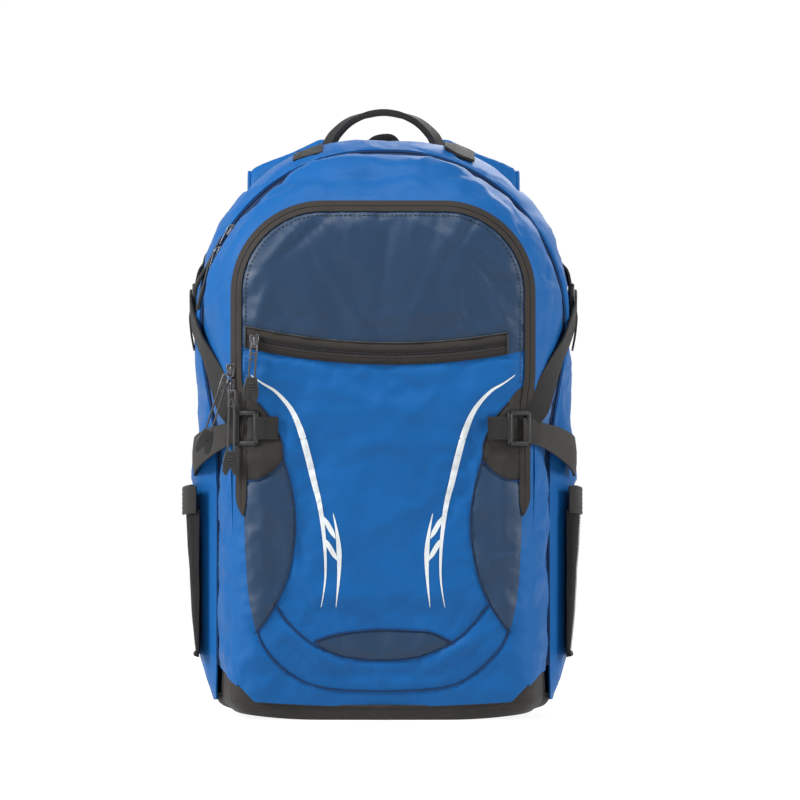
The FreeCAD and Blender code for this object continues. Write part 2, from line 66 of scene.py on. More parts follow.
SPLIT_Z = (FOLD_Z + FLAP_Z) / 2                       # both folds leave this height alone
CROWN_Z = 343                                         # centre height of the crown's arc
SIDES = ((-1, "left"), (1, "right"))                  # as one looks at the front
FORWARD = Vector((0, -1, 0))


# ---------------------------------------------------------------- stage, light and camera
def look_at(obj, target):
    obj.rotation_euler = (Vector(target) - obj.location).to_track_quat("-Z", "Y").to_euler()


def make_camera():
    """A long lens far off, level, square to the front."""
    data = bpy.data.cameras.new("camera")
    away = 6.0
    frame_wide = 0.696
    data.sensor_width = 36.0
    data.lens = 36.0 * away / frame_wide
    data.clip_end = 50
    cam = bpy.data.objects.new("camera", data)
    cam.location = (0.0148, -away - 0.11, 0.279)
    cam.rotation_euler = (math.pi / 2, 0, 0)
    bpy.context.scene.collection.objects.link(cam)
    bpy.context.scene.camera = cam


def area_light(name, place, target, size, power):
    data = bpy.data.lights.new(name, "AREA")
    data.shape = "RECTANGLE"
    data.size, data.size_y = size
    data.energy = power
    lamp = bpy.data.objects.new(name, data)
    lamp.location = place
    look_at(lamp, target)
    bpy.context.scene.collection.objects.link(lamp)


def stage_plane(name, corners, color, glow):
    mesh = bpy.data.meshes.new(name)
    mesh.from_pydata(corners, [], [(0, 1, 2, 3)])
    plane = bpy.data.objects.new(name, mesh)
    bpy.context.scene.collection.objects.link(plane)
    material = bpy.data.materials.new(name + "_white")
    material.use_nodes = True
    shader = material.node_tree.nodes["Principled BSDF"]
    shader.inputs["Base Color"].default_value = color
    shader.inputs["Roughness"].default_value = 0.9
    shader.inputs["Emission Color"].default_value = (1, 1, 1, 1)
    shader.inputs["Emission Strength"].default_value = glow
    mesh.materials.append(material)


def make_stage():
    """White floor, a white wall far behind, and soft light, strongest from the upper left."""
    scene = bpy.context.scene
    scene.view_settings.view_transform = "Standard"
    world = bpy.data.worlds.new("studio")
    scene.world = world
    world.use_nodes = True
    background = world.node_tree.nodes["Background"]
    background.inputs["Color"].default_value = (1, 1, 1, 1)
    background.inputs["Strength"].default_value = 0.26
    area_light("key", (-2.2, -0.8, 1.3), (0, 0, 0.3), (0.8, 0.9), 66)
    area_light("fill", (2.1, -0.7, 0.9), (0, 0, 0.25), (0.7, 1.0), 30)
    area_light("top", (-0.2, -0.7, 2.0), (0, 0, 0.3), (0.7, 0.5), 20)
    area_light("rim", (0.5, 1.8, 1.3), (0, 0, 0.3), (1.2, 0.8), 16)
    far = 8.0
    stage_plane("floor", [(-far, -far, 0), (far, -far, 0), (far, far, 0), (-far, far, 0)],
                (0.12, 0.12, 0.12, 1), 0.90)
    wall = 7.0
    stage_plane("backdrop", [(-3, wall, -0.5), (3, wall, -0.5), (3, wall, 4), (-3, wall, 4)],
                (0, 0, 0, 1), 1.0)


# ---------------------------------------------------------------- materials
def node(tree, kind, **sockets):
    made = tree.nodes.new(kind)
    for name, value in sockets.items():
        made.inputs[name].default_value = value
    return made


def math_node(tree, operation, *values):
    made = tree.nodes.new("ShaderNodeMath")
    made.operation = operation
    for socket, value in zip(made.inputs, values):
        if isinstance(value, (int, float)):
            socket.default_value = value
        else:
            tree.links.new(value, socket)
    return made.outputs[0]


def noise_node(tree, place, **sockets):
    """Noise laid out by the given coordinates; returns its strength."""
    made = node(tree, "ShaderNodeTexNoise", **sockets)
    tree.links.new(place, made.inputs["Vector"])
    return made.outputs["Fac"]


def new_material(name):
    material = bpy.data.materials.new(name)
    material.use_nodes = True
    tree = material.node_tree
    place = tree.nodes.new("ShaderNodeTexCoord").outputs["Object"]
    return material, tree, tree.nodes["Principled BSDF"], place


def connect(tree, shader, color, shade, gloss, height, **bumps):
    """The shaded colour, the roughness and the bumps into the shader."""
    tint = tree.nodes.new("ShaderNodeVectorMath")
    tint.operation = "SCALE"
    tint.inputs[0].default_value = color
    tree.links.new(shade, tint.inputs["Scale"])
    tree.links.new(tint.outputs[0], shader.inputs["Base Color"])
    tree.links.new(gloss, shader.inputs["Roughness"])
    bump = node(tree, "ShaderNodeBump", **bumps)
    tree.links.new(height, bump.inputs["Height"])
    tree.links.new(bump.outputs[0], shader.inputs["Normal"])


def fabric(name, color, pitch=0.9, rough=0.6, sheen=0.04, weave=0.25, diagonal=False,
           streak=0.0, shine=0.25):
    """Woven cloth: crossing yarns of the given pitch in mm, cloudy colour, soft sheen."""
    material, tree, shader, place = new_material(name)
    shader.inputs["Sheen Weight"].default_value = sheen
    shader.inputs["Sheen Roughness"].default_value = 0.5
    shader.inputs["Specular IOR Level"].default_value = shine
    uv = tree.nodes.new("ShaderNodeUVMap")
    uv.uv_map = "cloth"
    split = tree.nodes.new("ShaderNodeSeparateXYZ")
    tree.links.new(uv.outputs[0], split.inputs[0])
    u, v = split.outputs[0], split.outputs[1]
    if diagonal:
        u, v = math_node(tree, "ADD", u, v), math_node(tree, "SUBTRACT", u, v)
    turns = 2 * math.pi / (pitch * MM)
    warp = math_node(tree, "SINE", math_node(tree, "MULTIPLY", u, turns))
    weft = math_node(tree, "SINE", math_node(tree, "MULTIPLY", v, turns))
    yarn = math_node(tree, "MULTIPLY", warp, weft)
    cloud = noise_node(tree, place, Scale=22.0, Detail=5.0, Roughness=0.6)
    fine = noise_node(tree, place, Scale=420.0, Detail=3.0)
    shade = math_node(tree, "MULTIPLY", math_node(tree, "MULTIPLY_ADD", cloud, 0.2, 0.9),
                      math_node(tree, "MULTIPLY_ADD", fine, 0.16, 0.92))
    if streak:
        stretched = tree.nodes.new("ShaderNodeMapping")
        stretched.inputs["Scale"].default_value = (60, 60, 900)
        tree.links.new(place, stretched.inputs["Vector"])
        bands = noise_node(tree, stretched.outputs[0], Scale=1.0, Detail=2.0)
        band = math_node(tree, "MULTIPLY_ADD", bands, 2 * streak, 1.0 - streak)
        shade = math_node(tree, "MULTIPLY", shade, band)
    connect(tree, shader, color, shade,
            math_node(tree, "MULTIPLY_ADD", cloud, 0.16, rough - 0.08),
            math_node(tree, "ADD", yarn, math_node(tree, "MULTIPLY", fine, 0.8)),
            Strength=weave, Distance=0.12 * pitch * MM)
    return material


def moulded(name, color, rough=0.42, grain=0.25, metal=0.0):
    """Moulded plastic, rubber or plated metal with a fine grain."""
    material, tree, shader, place = new_material(name)
    shader.inputs["Metallic"].default_value = metal
    fine = noise_node(tree, place, Scale=1500.0, Detail=3.0)
    broad = noise_node(tree, place, Scale=90.0, Detail=4.0)
    connect(tree, shader, color, math_node(tree, "MULTIPLY_ADD", broad, 0.3, 0.85),
            math_node(tree, "MULTIPLY_ADD", broad, 0.2, rough - 0.1), fine,
            Strength=grain, Distance=0.00005)
    return material


MATERIALS = {
    "blue_nylon": fabric("blue_nylon", (0.004, 0.096, 0.315), rough=0.5, shine=0.17,
                         sheen=0.02),
    "navy_nylon": fabric("navy_nylon", (0.012, 0.039, 0.090), pitch=0.7, rough=0.46, shine=0.34,
                         sheen=0.02),
    "patch_fabric": fabric("patch_fabric", (0.026, 0.024, 0.022), pitch=1.1, rough=0.7,
                           diagonal=True),
    "base_fabric": fabric("base_fabric", (0.030, 0.028, 0.026), pitch=1.6, rough=0.75,
                          weave=0.5, streak=0.45),
    "zip_tape": fabric("zip_tape", (0.027, 0.023, 0.020), pitch=0.8, rough=0.75, weave=0.4),
    "webbing": fabric("webbing", (0.016, 0.0155, 0.015), pitch=1.5, rough=0.65, weave=0.7,
                      diagonal=True),
    "elastic": fabric("elastic", (0.020, 0.019, 0.018), pitch=1.2, rough=0.7, weave=0.6),
    "back_mesh": fabric("back_mesh", (0.020, 0.020, 0.021), pitch=3.2, rough=0.85, weave=0.9,
                        diagonal=True),
    "pocket_mesh": fabric("pocket_mesh", (0.026, 0.026, 0.026), pitch=2.4, rough=0.7,
                          weave=0.8, diagonal=True),
    "mesh_backing": fabric("mesh_backing", (0.009, 0.009, 0.010), pitch=2.4, rough=0.85),
    "lining": fabric("lining", (0.085, 0.088, 0.095), pitch=0.6, rough=0.6),
    "print_white": fabric("print_white", (0.66, 0.70, 0.72), pitch=0.9, rough=0.45, weave=0.1,
                          sheen=0.0),
    "thread_blue": fabric("thread_blue", (0.010, 0.075, 0.25), pitch=0.4, rough=0.6),
    # seam_and_shade_blue: dark blue for seam lines and for painted shade, namely the shadow lines
    # along seams and the painted contact shadow under the crown's front edge
    "seam_and_shade_blue": fabric("seam_and_shade_blue", (0.004, 0.022, 0.075), pitch=0.4, rough=0.7),
    "thread_dark": fabric("thread_dark", (0.014, 0.018, 0.026), pitch=0.4, rough=0.6),
    "pull_cord": fabric("pull_cord", (0.060, 0.060, 0.062), pitch=0.6, rough=0.7, weave=0.8,
                        diagonal=True),
    "buckle_plastic": moulded("buckle_plastic", (0.014, 0.014, 0.014)),
    "stiffener_plastic": moulded("stiffener_plastic", (0.62, 0.62, 0.6), rough=0.5),
    "zip_metal": moulded("zip_metal", (0.16, 0.16, 0.17), rough=0.35, metal=0.9),
    "grip_rubber": moulded("grip_rubber", (0.016, 0.016, 0.016), rough=0.5, grain=0.5),
    "coil_plastic": moulded("coil_plastic", (0.010, 0.0095, 0.009), rough=0.4),
}
SLOT_OF = {"patch_fabric": "base_fabric", "print_white": "blue_nylon",
           "thread_blue": "blue_nylon", "seam_and_shade_blue": "blue_nylon",
           "mesh_backing": "pocket_mesh", "thread_dark": "navy_nylon", "coil_plastic": "zip_tape"}
SHARP_ANGLE = math.radians(62)    # steeper edges than this stay sharp


# ---------------------------------------------------------------- mesh helpers
def clamp(value):
    """The value held between 0 and 1."""
    return min(max(value, 0), 1)


def piece(name, bm, material):
    """A linked object from a bmesh that is in millimetres."""
    bmesh.ops.recalc_face_normals(bm, faces=bm.faces)
    for vert in bm.verts:
        vert.co *= MM
    mesh = bpy.data.meshes.new(name)
    bm.to_mesh(mesh)
    bm.free()
    mesh.polygons.foreach_set("use_smooth", [True] * len(mesh.polygons))
    mesh.set_sharp_from_angle(angle=SHARP_ANGLE)
    if "cloth" not in mesh.uv_layers:
        layer = mesh.uv_layers.new(name="cloth")
        for loop in mesh.loops:
            p = mesh.vertices[loop.vertex_index].co
            layer.data[loop.index].uv = (p.x + p.y, p.z)
    mesh.materials.append(MATERIALS[material])
    obj = bpy.data.objects.new(name, mesh)
    bpy.context.scene.collection.objects.link(obj)
    SLOT_OF.get(material, material)
    return obj


def ride(obj, body, *nodes):
    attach(obj, body)
    if nodes:
        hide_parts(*nodes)
    return obj


def add(name, bm, material, body, *nodes):
    """A piece that rides one body."""
    return ride(piece(name, bm, material), body, *nodes)


def bend_low(obj, *nodes):
    """Cloth that crosses the front's fold."""
    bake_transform(obj)
    if nodes:
        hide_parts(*nodes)
    return obj


def bend_high(obj, *nodes):
    """Cloth that crosses the arch flap's fold."""
    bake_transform(obj)
    if nodes:
        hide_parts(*nodes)
    return obj


def grid(rows, thick=0.0, closed=False):
    """A bmesh skin over rows of points, with cloth coordinates; thick grows it inwards."""
    bm = bmesh.new()
    layer = bm.loops.layers.uv.new("cloth")
    verts = [[bm.verts.new(p) for p in row] for row in rows]
    across = len(rows[0])
    middle = rows[len(rows) // 2]
    run = [0.0]
    for a, b in zip(middle, list(middle[1:]) + [middle[0]]):
        run.append(run[-1] + (b - a).length)
    rise = [0.0]
    for low, high in zip(rows, rows[1:]):
        rise.append(rise[-1] + (high[across // 2] - low[across // 2]).length)
    for i in range(len(rows) - 1):
        for j in range(across if closed else across - 1):
            k = (j + 1) % across
            face = bm.faces.new((verts[i][j], verts[i][k], verts[i + 1][k], verts[i + 1][j]))
            places = ((run[j], rise[i]), (run[j + 1], rise[i]), (run[j + 1], rise[i + 1]),
                      (run[j], rise[i + 1]))
            for loop, (u, v) in zip(face.loops, places):
                loop[layer].uv = (u * MM, v * MM)
    if thick:
        thicken(bm, thick)
    return bm


def thicken(bm, thick):
    """Gives a skin a second face on its inner side and closes its rim."""
    bm.normal_update()
    bmesh.ops.solidify(bm, geom=list(bm.faces), thickness=thick)


def resample(points, step, closed=False):
    """Points at an even step along a line of points."""
    points = [Vector(p) for p in points]
    if closed:
        points = points + [points[0]]
    lengths = [(b - a).length for a, b in zip(points, points[1:])]
    total = sum(lengths)
    count = max(int(round(total / step)), 2)
    found = []
    index, start = 0, 0.0
    for k in range(count if closed else count + 1):
        want = total * k / count
        while index < len(lengths) - 1 and start + lengths[index] < want:
            start += lengths[index]
            index += 1
        share = (want - start) / max(lengths[index], 1e-9)
        found.append(points[index].lerp(points[index + 1], clamp(share)))
    return found


def rounded(points, step=2.5, closed=False):
    """A smooth curve through given points (Catmull-Rom), at an even step."""
    points = [Vector(p) for p in points]
    count = len(points)
    fine = []
    spans = count if closed else count - 1
    for i in range(spans):
        def at(k):
            return points[k % count] if closed else points[min(max(k, 0), count - 1)]
        a, b, c, d = at(i - 1), at(i), at(i + 1), at(i + 2)
        for k in range(12):
            t = k / 12
            fine.append(0.5 * (2 * b + (c - a) * t + (2 * a - 5 * b + 4 * c - d) * t ** 2
                               + (3 * b - a - 3 * c + d) * t ** 3))
    if not closed:
        fine.append(points[-1])
    return resample(fine, step, closed)


def frames_along(points, outward):
    """Along, outward and sideways directions at each point of a line."""
    found = []
    for i, p in enumerate(points):
        before = points[max(i - 1, 0)]
        after = points[min(i + 1, len(points) - 1)]
        along = (after - before).normalized()
        out = outward(p) if callable(outward) else outward[i]
        out = (out - along * out.dot(along)).normalized()
        found.append((along, out, along.cross(out)))
    return found


def close_ends(bm, ring):
    """Closes both ends of a skin made of rings of points."""
    bm.verts.ensure_lookup_table()
    bm.faces.new([bm.verts[k] for k in range(ring)])
    bm.faces.new([bm.verts[k] for k in range(len(bm.verts) - ring, len(bm.verts))])
    return bm


def route(side, places, step):
    """A smooth curve on one side of the bag, from places given for the right side."""
    return rounded([Vector((side * x, y, z)) for x, y, z in places], step)


def tube(points, radius, sides=8, outward=Vector((0.3, -1, 0.2))):
    """A round tube along a line of points."""
    rows = []
    frames = frames_along(points, lambda p: Vector(outward))
    for p, (_, out, side) in zip(points, frames):
        rows.append([p + out * radius * math.cos(2 * math.pi * k / sides)
                     + side * radius * math.sin(2 * math.pi * k / sides) for k in range(sides)])
    return close_ends(grid(rows, closed=True), sides)


def strip(points, outs, wide, thick):
    """Webbing: a flat band with rounded edges along a line; outs is each point's outward way."""
    rows = []
    frames = frames_along(points, outs)
    half, deep, edge = wide / 2, thick / 2, 0.35
    ring = [(-half + edge, deep), (half - edge, deep), (half, deep * 0.3), (half, -deep * 0.3),
            (half - edge, -deep), (-half + edge, -deep), (-half, -deep * 0.3),
            (-half, deep * 0.3)]
    for p, (_, out, side) in zip(points, frames):
        rows.append([p + side * a + out * b for a, b in ring])
    return close_ends(grid(rows, closed=True), len(ring))


def join(target, *others):
    """Adds other bmeshes to the first."""
    for other in others:
        mesh = bpy.data.meshes.new("join")
        other.to_mesh(mesh)
        other.free()
        target.from_mesh(mesh)
        bpy.data.meshes.remove(mesh)
    return target


def bead(bm, centre, along, out, length, wide, tall, sides=6):
    """A small pill, as one stitch or one zip tooth, added to bm."""
    side = along.cross(out)
    rings = []
    for t, scale in ((-0.5, 0.35), (-0.32, 1.0), (0.32, 1.0), (0.5, 0.35)):
        ring = []
        for k in range(sides):
            a = 2 * math.pi * k / sides
            ring.append(bm.verts.new(centre + along * length * t
                                     + side * wide / 2 * math.cos(a) * scale
                                     + out * tall / 2 * math.sin(a) * scale))
        rings.append(ring)
    for low, high in zip(rings, rings[1:]):
        for k in range(sides):
            n = (k + 1) % sides
            bm.faces.new((low[k], low[n], high[n], high[k]))
    bm.faces.new(rings[0])
    bm.faces.new(rings[-1])


def steps_along(points, outs, step):
    """Even steps along a line: start, end, and the along and outward directions."""
    line = resample(points, step)
    for a, b in zip(line, line[1:]):
        along = (b - a).normalized()
        way = outs(a) if callable(outs) else outs
        yield a, b, along, (way - along * way.dot(along)).normalized()


def stitches(points, outs, stitch=3.0, gap=1.1, tall=0.5):
    """A row of thread stitches along a line."""
    bm = bmesh.new()
    step = stitch + gap
    total = sum((b - a).length for a, b in zip(points, points[1:]))
    for a, b, along, out in steps_along(points, outs, step):
        bead(bm, (a + b) / 2, along, out, stitch * min(1, total / step), 0.65, tall)
    return bm


def teeth(points, outs, wide):
    """A zip's coil: short cross beads along a line, two interleaved rows."""
    bm = bmesh.new()
    pitch, tall = 1.5, 1.1
    for i, (a, _, along, out) in enumerate(steps_along(points, outs, pitch)):
        side = along.cross(out)
        shift = side * (wide * 0.13 if i % 2 else -wide * 0.13)
        bead(bm, a + shift, side, out, wide * 0.75, pitch * 0.72, tall)
    return bm


def quads(tall, wide):
    """The faces of a grid of points, row by row."""
    return [(k, k + 1, k + wide + 1, k + wide)
            for i in range(tall - 1) for k in range(i * wide, i * wide + wide - 1)]


# ---------------------------------------------------------------- cloth simulation
SIM_FRAMES = 18


def simulate(points, faces, held, pressure, grow, cap):
    """Cloth laid over points (mm) and blown out along its normals; returns the moved points.

    held gives each point's pin weight, grow the slack of the cloth, cap the furthest move.
    """
    mesh = bpy.data.meshes.new("sim")
    mesh.from_pydata([p * MM for p in points], [], faces)
    obj = bpy.data.objects.new("sim", mesh)
    scene = bpy.context.scene
    scene.collection.objects.link(obj)
    group = obj.vertex_groups.new(name="pin")
    for index, weight in enumerate(held):
        if weight > 0:
            group.add([index], weight, "REPLACE")
    cloth = obj.modifiers.new("cloth", "CLOTH")
    settings = cloth.settings
    settings.vertex_group_mass = "pin"
    settings.quality = 5
    settings.mass = 0.15
    settings.tension_stiffness = 18
    settings.compression_stiffness = 18
    settings.bending_stiffness = 0.12
    settings.use_pressure = True
    settings.uniform_pressure_force = pressure
    settings.shrink_min = -grow
    settings.effector_weights.gravity = 0
    cloth.collision_settings.use_collision = False
    for k in range(1, SIM_FRAMES + 1):
        scene.frame_set(k)
    done = obj.evaluated_get(bpy.context.evaluated_depsgraph_get())
    result = done.to_mesh()
    moved = []
    for p, v in zip(points, result.vertices):
        step = v.co / MM - p
        length = step.length
        if length > 1e-6:
            step = step * (cap * math.tanh(length / cap) / length)
        moved.append(p + step)
    done.to_mesh_clear()
    bpy.data.objects.remove(obj)
    bpy.data.meshes.remove(mesh)
    scene.frame_set(1)
    return moved


def simulate_rows(rows, pressure, grow, cap):
    """A simulated skin over rows of points, held along its borders."""
    wide = len(rows[0])
    tall = len(rows)
    points = [p for row in rows for p in row]
    faces = quads(tall, wide)
    a, b, c = (points[k] for k in faces[len(faces) // 2][:3])
    middle = sum(points, Vector()) / len(points)
    if (b - a).cross(c - b).dot(a - middle) < 0:
        faces = [f[::-1] for f in faces]
    held = [0.0 if 2 <= i < tall - 2 and 2 <= j < wide - 2 else 1.0
            for i in range(tall) for j in range(wide)]
    moved = simulate(points, faces, held, pressure, grow, cap)
    return [moved[i * wide:(i + 1) * wide] for i in range(tall)]


def inflate(bm, pressure, cap, voxel):
    """A cushion from a closed bmesh in mm: remeshed, blown up as cloth and subdivided."""
    for vert in bm.verts:
        vert.co *= MM
    mesh = bpy.data.meshes.new("pad")
    bm.to_mesh(mesh)
    bm.free()
    obj = bpy.data.objects.new("pad", mesh)
    bpy.context.scene.collection.objects.link(obj)
    remesh = obj.modifiers.new("remesh", "REMESH")
    remesh.mode = "VOXEL"
    remesh.voxel_size = voxel * MM
    done = obj.evaluated_get(bpy.context.evaluated_depsgraph_get())
    even = bpy.data.meshes.new_from_object(done)
    points = [v.co / MM for v in even.vertices]
    faces = [tuple(f.vertices) for f in even.polygons]
    bpy.data.objects.remove(obj)
    moved = simulate(points, faces, [0.0] * len(points), pressure, 0.0, cap)
    made = bmesh.new()
    verts = [made.verts.new(p) for p in moved]
    for face in faces:
        made.faces.new([verts[k] for k in face])
    bmesh.ops.smooth_vert(made, verts=made.verts, factor=0.4, use_axis_x=True,
                          use_axis_y=True, use_axis_z=True)
    bmesh.ops.subdivide_edges(made, edges=made.edges, cuts=1, use_grid_fill=True, smooth=0.6)
    return made


# ---------------------------------------------------------------- the bag's outlines
# half width at the foot, at the fold and at the shoulder; top height; shoulder radius
SECTIONS = [
    (91.0, (150, 157, 156, 504, 136)),
    (84.0, (153, 160, 159, 506, 138)),
    (55.0, (159, 164, 161, 507, 141)),
    (20.0, (163, 166, 161, 506, 143)),
    (-8.0, (158, 161, 161, 503, 147)),
    (-22.0, (149, 149, 161, 499.5, 152)),
    (-26.0, (146, 145.5, 160, 498, 152)),
    (-30.0, (142, 141, 157.5, 494.5, 150.5)),
    (-34.0, (141.5, 141, 156.5, 492.5, 149)),
    (-55.0, (139.5, 140, 151, 484, 130)),
    (-78.0, (134, 137, 141, 468, 102)),
    (-90.0, (128.5, 133.5, 134, 456.5, 84)),
    (-95.0, (126, 131.5, 131.5, 451.5, 79)),
]


def section_at(y):
    """The outline's five sizes at a depth, eased between the listed ones."""
    for (y0, a), (y1, b) in zip(SECTIONS, SECTIONS[1:]):
        if y >= y1:
            t = clamp((y0 - y) / (y0 - y1))
            return [p + (q - p) * t for p, q in zip(a, b)]
    return SECTIONS[-1][1]


def base_top(x):
    """Height of the base's upper edge across the front."""
    x = abs(x)
    if x < 112:
        return 12 + 4 * (x / 112) ** 2
    return 16 + 30 * min((x - 112) / 29, 1)


def outline(y, foot_z, counts=(26, 20, 34, 6)):
    """Points of the arch at depth y from the left foot over the top to the right foot."""
    low, knee, top, z_top, corner = section_at(y)
    z_mid, x_mid = z_top - corner, top - corner
    n_low, n_high, n_arc, n_top = counts
    left = []
    for k in range(n_low):
        t = k / n_low
        left.append((-(low + (knee - low) * t), foot_z + (FOLD_Z - foot_z) * t))
    for k in range(n_high):
        t = k / n_high
        ease = t * t * (3 - 2 * t)
        left.append((-(knee + (top - knee) * ease), FOLD_Z + (z_mid - FOLD_Z) * t))
    for k in range(n_arc):
        a = math.pi / 2 * k / n_arc
        left.append((-(x_mid + corner * math.cos(a)), z_mid + corner * math.sin(a)))
    for k in range(n_top):
        left.append((-x_mid * (1 - k / n_top), z_top))
    points = left + [(0, z_top)] + [(-x, z) for x, z in reversed(left)]
    return [Vector((x, y, z)) for x, z in points]


def bump_at(p, centre, spread, height, turn=0.0):
    """A soft oval rise or dip, in the X-Z or Y-Z plane given by the pairs."""
    a, b = p[0] - centre[0], p[1] - centre[1]
    c, s = math.cos(math.radians(turn)), math.sin(math.radians(turn))
    u, v = (a * c + b * s) / spread[0], (-a * s + b * c) / spread[1]
    return height * math.exp(-(u * u + v * v) / 2)


def ruffle(p, scale, seed, stretch=(1, 1, 1)):
    q = Vector((p.x * stretch[0], p.y * stretch[1], p.z * stretch[2])) / scale
    return noise.noise(q + Vector((seed, seed * 1.7, -seed)))


def ridge(p, scale, seed, stretch=(1, 1, 1)):
    """Creased noise: sharp valleys between soft swells."""
    return 1 - 2 * abs(ruffle(p, scale, seed, stretch)) ** 0.7


def push_out(rows, amount):
    """Moves each point of rows of points along the skin's outward way by amount(point)."""
    count = len(rows[0])
    moved = []
    for i, row in enumerate(rows):
        line = []
        for j, p in enumerate(row):
            up = rows[min(i + 1, len(rows) - 1)][j] - rows[max(i - 1, 0)][j]
            across = row[min(j + 1, count - 1)] - row[max(j - 1, 0)]
            normal = across.cross(up)
            if normal.length > 1e-6:
                normal.normalize()
                centre = Vector((0, p.y + 30, 230))
                if normal.dot(p - centre) < 0:
                    normal = -normal
            line.append(p + normal * amount(p, i, j))
        moved.append(line)
    return moved


def edge_fade(index, last, reach):
    """0 at both ends of a run of rows and 1 inside."""
    nearest = min(index, last - index)
    return min(nearest / reach, 1.0)


def tuck_under(p):
    """The sides curve in under the bag at their lower end: the share of the width left."""
    low = max((64 - p.z) / 48, 0)
    return 1 - 0.105 * low ** 1.7 * clamp((p.y + 27) / 30)


def side_pinch(p):
    """The sides are drawn in where the compression straps run and swell below them."""
    pull = -4.0 * math.exp(-((p.z - 268) / 26) ** 2) * clamp((90 - p.y) / 60)
    return pull if abs(p.x) > 120 else 0.0


# ---------------------------------------------------------------- body skin
def make_shell():
    """Sides and crown from the back seam to the main zip."""
    depths = [91, 89, 86, 82, 77, 72, 67, 62, 57, 52, 47, 42, 37, 32, 27, 22, 17, 12, 7, 2, -3,
              -8, -12, -16, -19, -22, -24.4, -26]
    rows = [outline(y, 15.0, (34, 26, 46, 8)) for y in depths]
    for row in rows:
        for p in row:
            p.x *= tuck_under(p)
    last = len(rows) - 1

    def swell(p, i, j):
        fade = edge_fade(i, last, 4.0)
        wave = 1.5 * ruffle(p, 70, 3.1) + 1.1 * ridge(p, 46, 8.3, (1, 0.5, 1))
        wave += 0.6 * ridge(p, 22, 5.3, (1, 0.6, 1))
        if abs(p.x) > 120:
            wave += 1.5 * ridge(p, 60, 1.3, (1, 0.5, 1.6)) * clamp((p.y + 20) / 30)
        tuck = 0.8 * math.exp(-((i - last) / 2.0) ** 2)
        hem = -1.8 * math.exp(-(i / 0.9) ** 2)
        return fade * (wave + side_pinch(p)) + tuck + hem
    flat = rows
    rows = simulate_rows(push_out(rows, swell), 0.5, 0.012, 4.0)
    for row, flat_row in zip(rows, flat):
        for j, p in enumerate(row):
            # the net pocket holds the side flat behind it
            outside = max(abs(p.y - 30) - 50, abs(p.z - 118) - 74, 0)
            if abs(p.x) > 130 and outside < 16:
                row[j] = p.lerp(flat_row[j], 1 - (outside / 16) ** 2)
    bm = grid(rows, thick=1.4)
    add("body_skin", bm, "blue_nylon", "pack", "crown_gusset", "side_gusset_left",
        "side_gusset_right")
    seam = outline(89.5, 45.0)
    add("back_piping", tube(seam, 2.0, outward=(0, 1, 0)), "webbing", "pack")
    # a dark blue tube round the crown's front edge: a seam line, and painted contact shadow where
    # the crown's edge meets the band
    edge = [p + outward_of(p) * 0.3 for p in outline(-26.4, 45.0)]
    add("crown_edge_seam_shadow", tube(edge, 0.9, outward=(0, 1, 0)), "seam_and_shade_blue", "pack")
    # the side seam of the crown, halfway down the sides
    surface = BVHTree.FromPolygons([p for row in rows for p in row],
                                   quads(len(rows), len(rows[0])))
    for side, label in SIDES:
        for height, name in ((330, "crown_seam_stitches_"), (208, "side_seam_stitches_")):
            line = []
            for y in range(84, -24, -4):
                hit = surface.ray_cast(Vector((side * 300, y, height + 0.12 * y)),
                                       Vector((-side, 0, 0)))[0]
                if hit:
                    line.append(hit + Vector((side * 0.3, 0, 0)))
            add(name + label, stitches(line, Vector((side, 0, 0))), "thread_blue", "pack")
            # a dark blue tube 2.2 mm below each row of stitches: the seam line, with painted
            # shade in its valley
            shade_valley = [p - Vector((0, 0, 2.2)) for p in line]
            add(name.replace("stitches", "line") + label, tube(shade_valley, 0.6, outward=(side, 0, 0)),
                "seam_and_shade_blue", "pack")
    return surface


TOP_FOLDS = [
    # x, z, half length, half width, height, turn
    ((-10, 470), (62, 2.2), -3.0, 2.0),
    ((-84, 461), (16, 2.4), -2.6, 24.0),
    ((98, 455), (12, 2.2), -2.4, -38.0),
    ((120, 420), (3.0, 22), -4.0, 12.0),
    ((-120, 436), (4, 16), -2.2, -38.0),
    ((30, 480), (70, 4.0), 1.8, -3.0),
    ((-60, 480), (40, 5.0), 1.4, 10.0),
    ((142, 395), (2.6, 24), -2.0, 10.0),
    ((-142, 380), (2.6, 22), -1.6, -8.0),
]


# the straps' middle lines over the band, as (y, z)
ARM_LINE = [(-104, 264), (-98, 273), (-87, 284), (-60, 307), (-32, 331)]
WING_LINE = [(-103, 252), (-86, 247), (-60, 244), (-30, 236)]


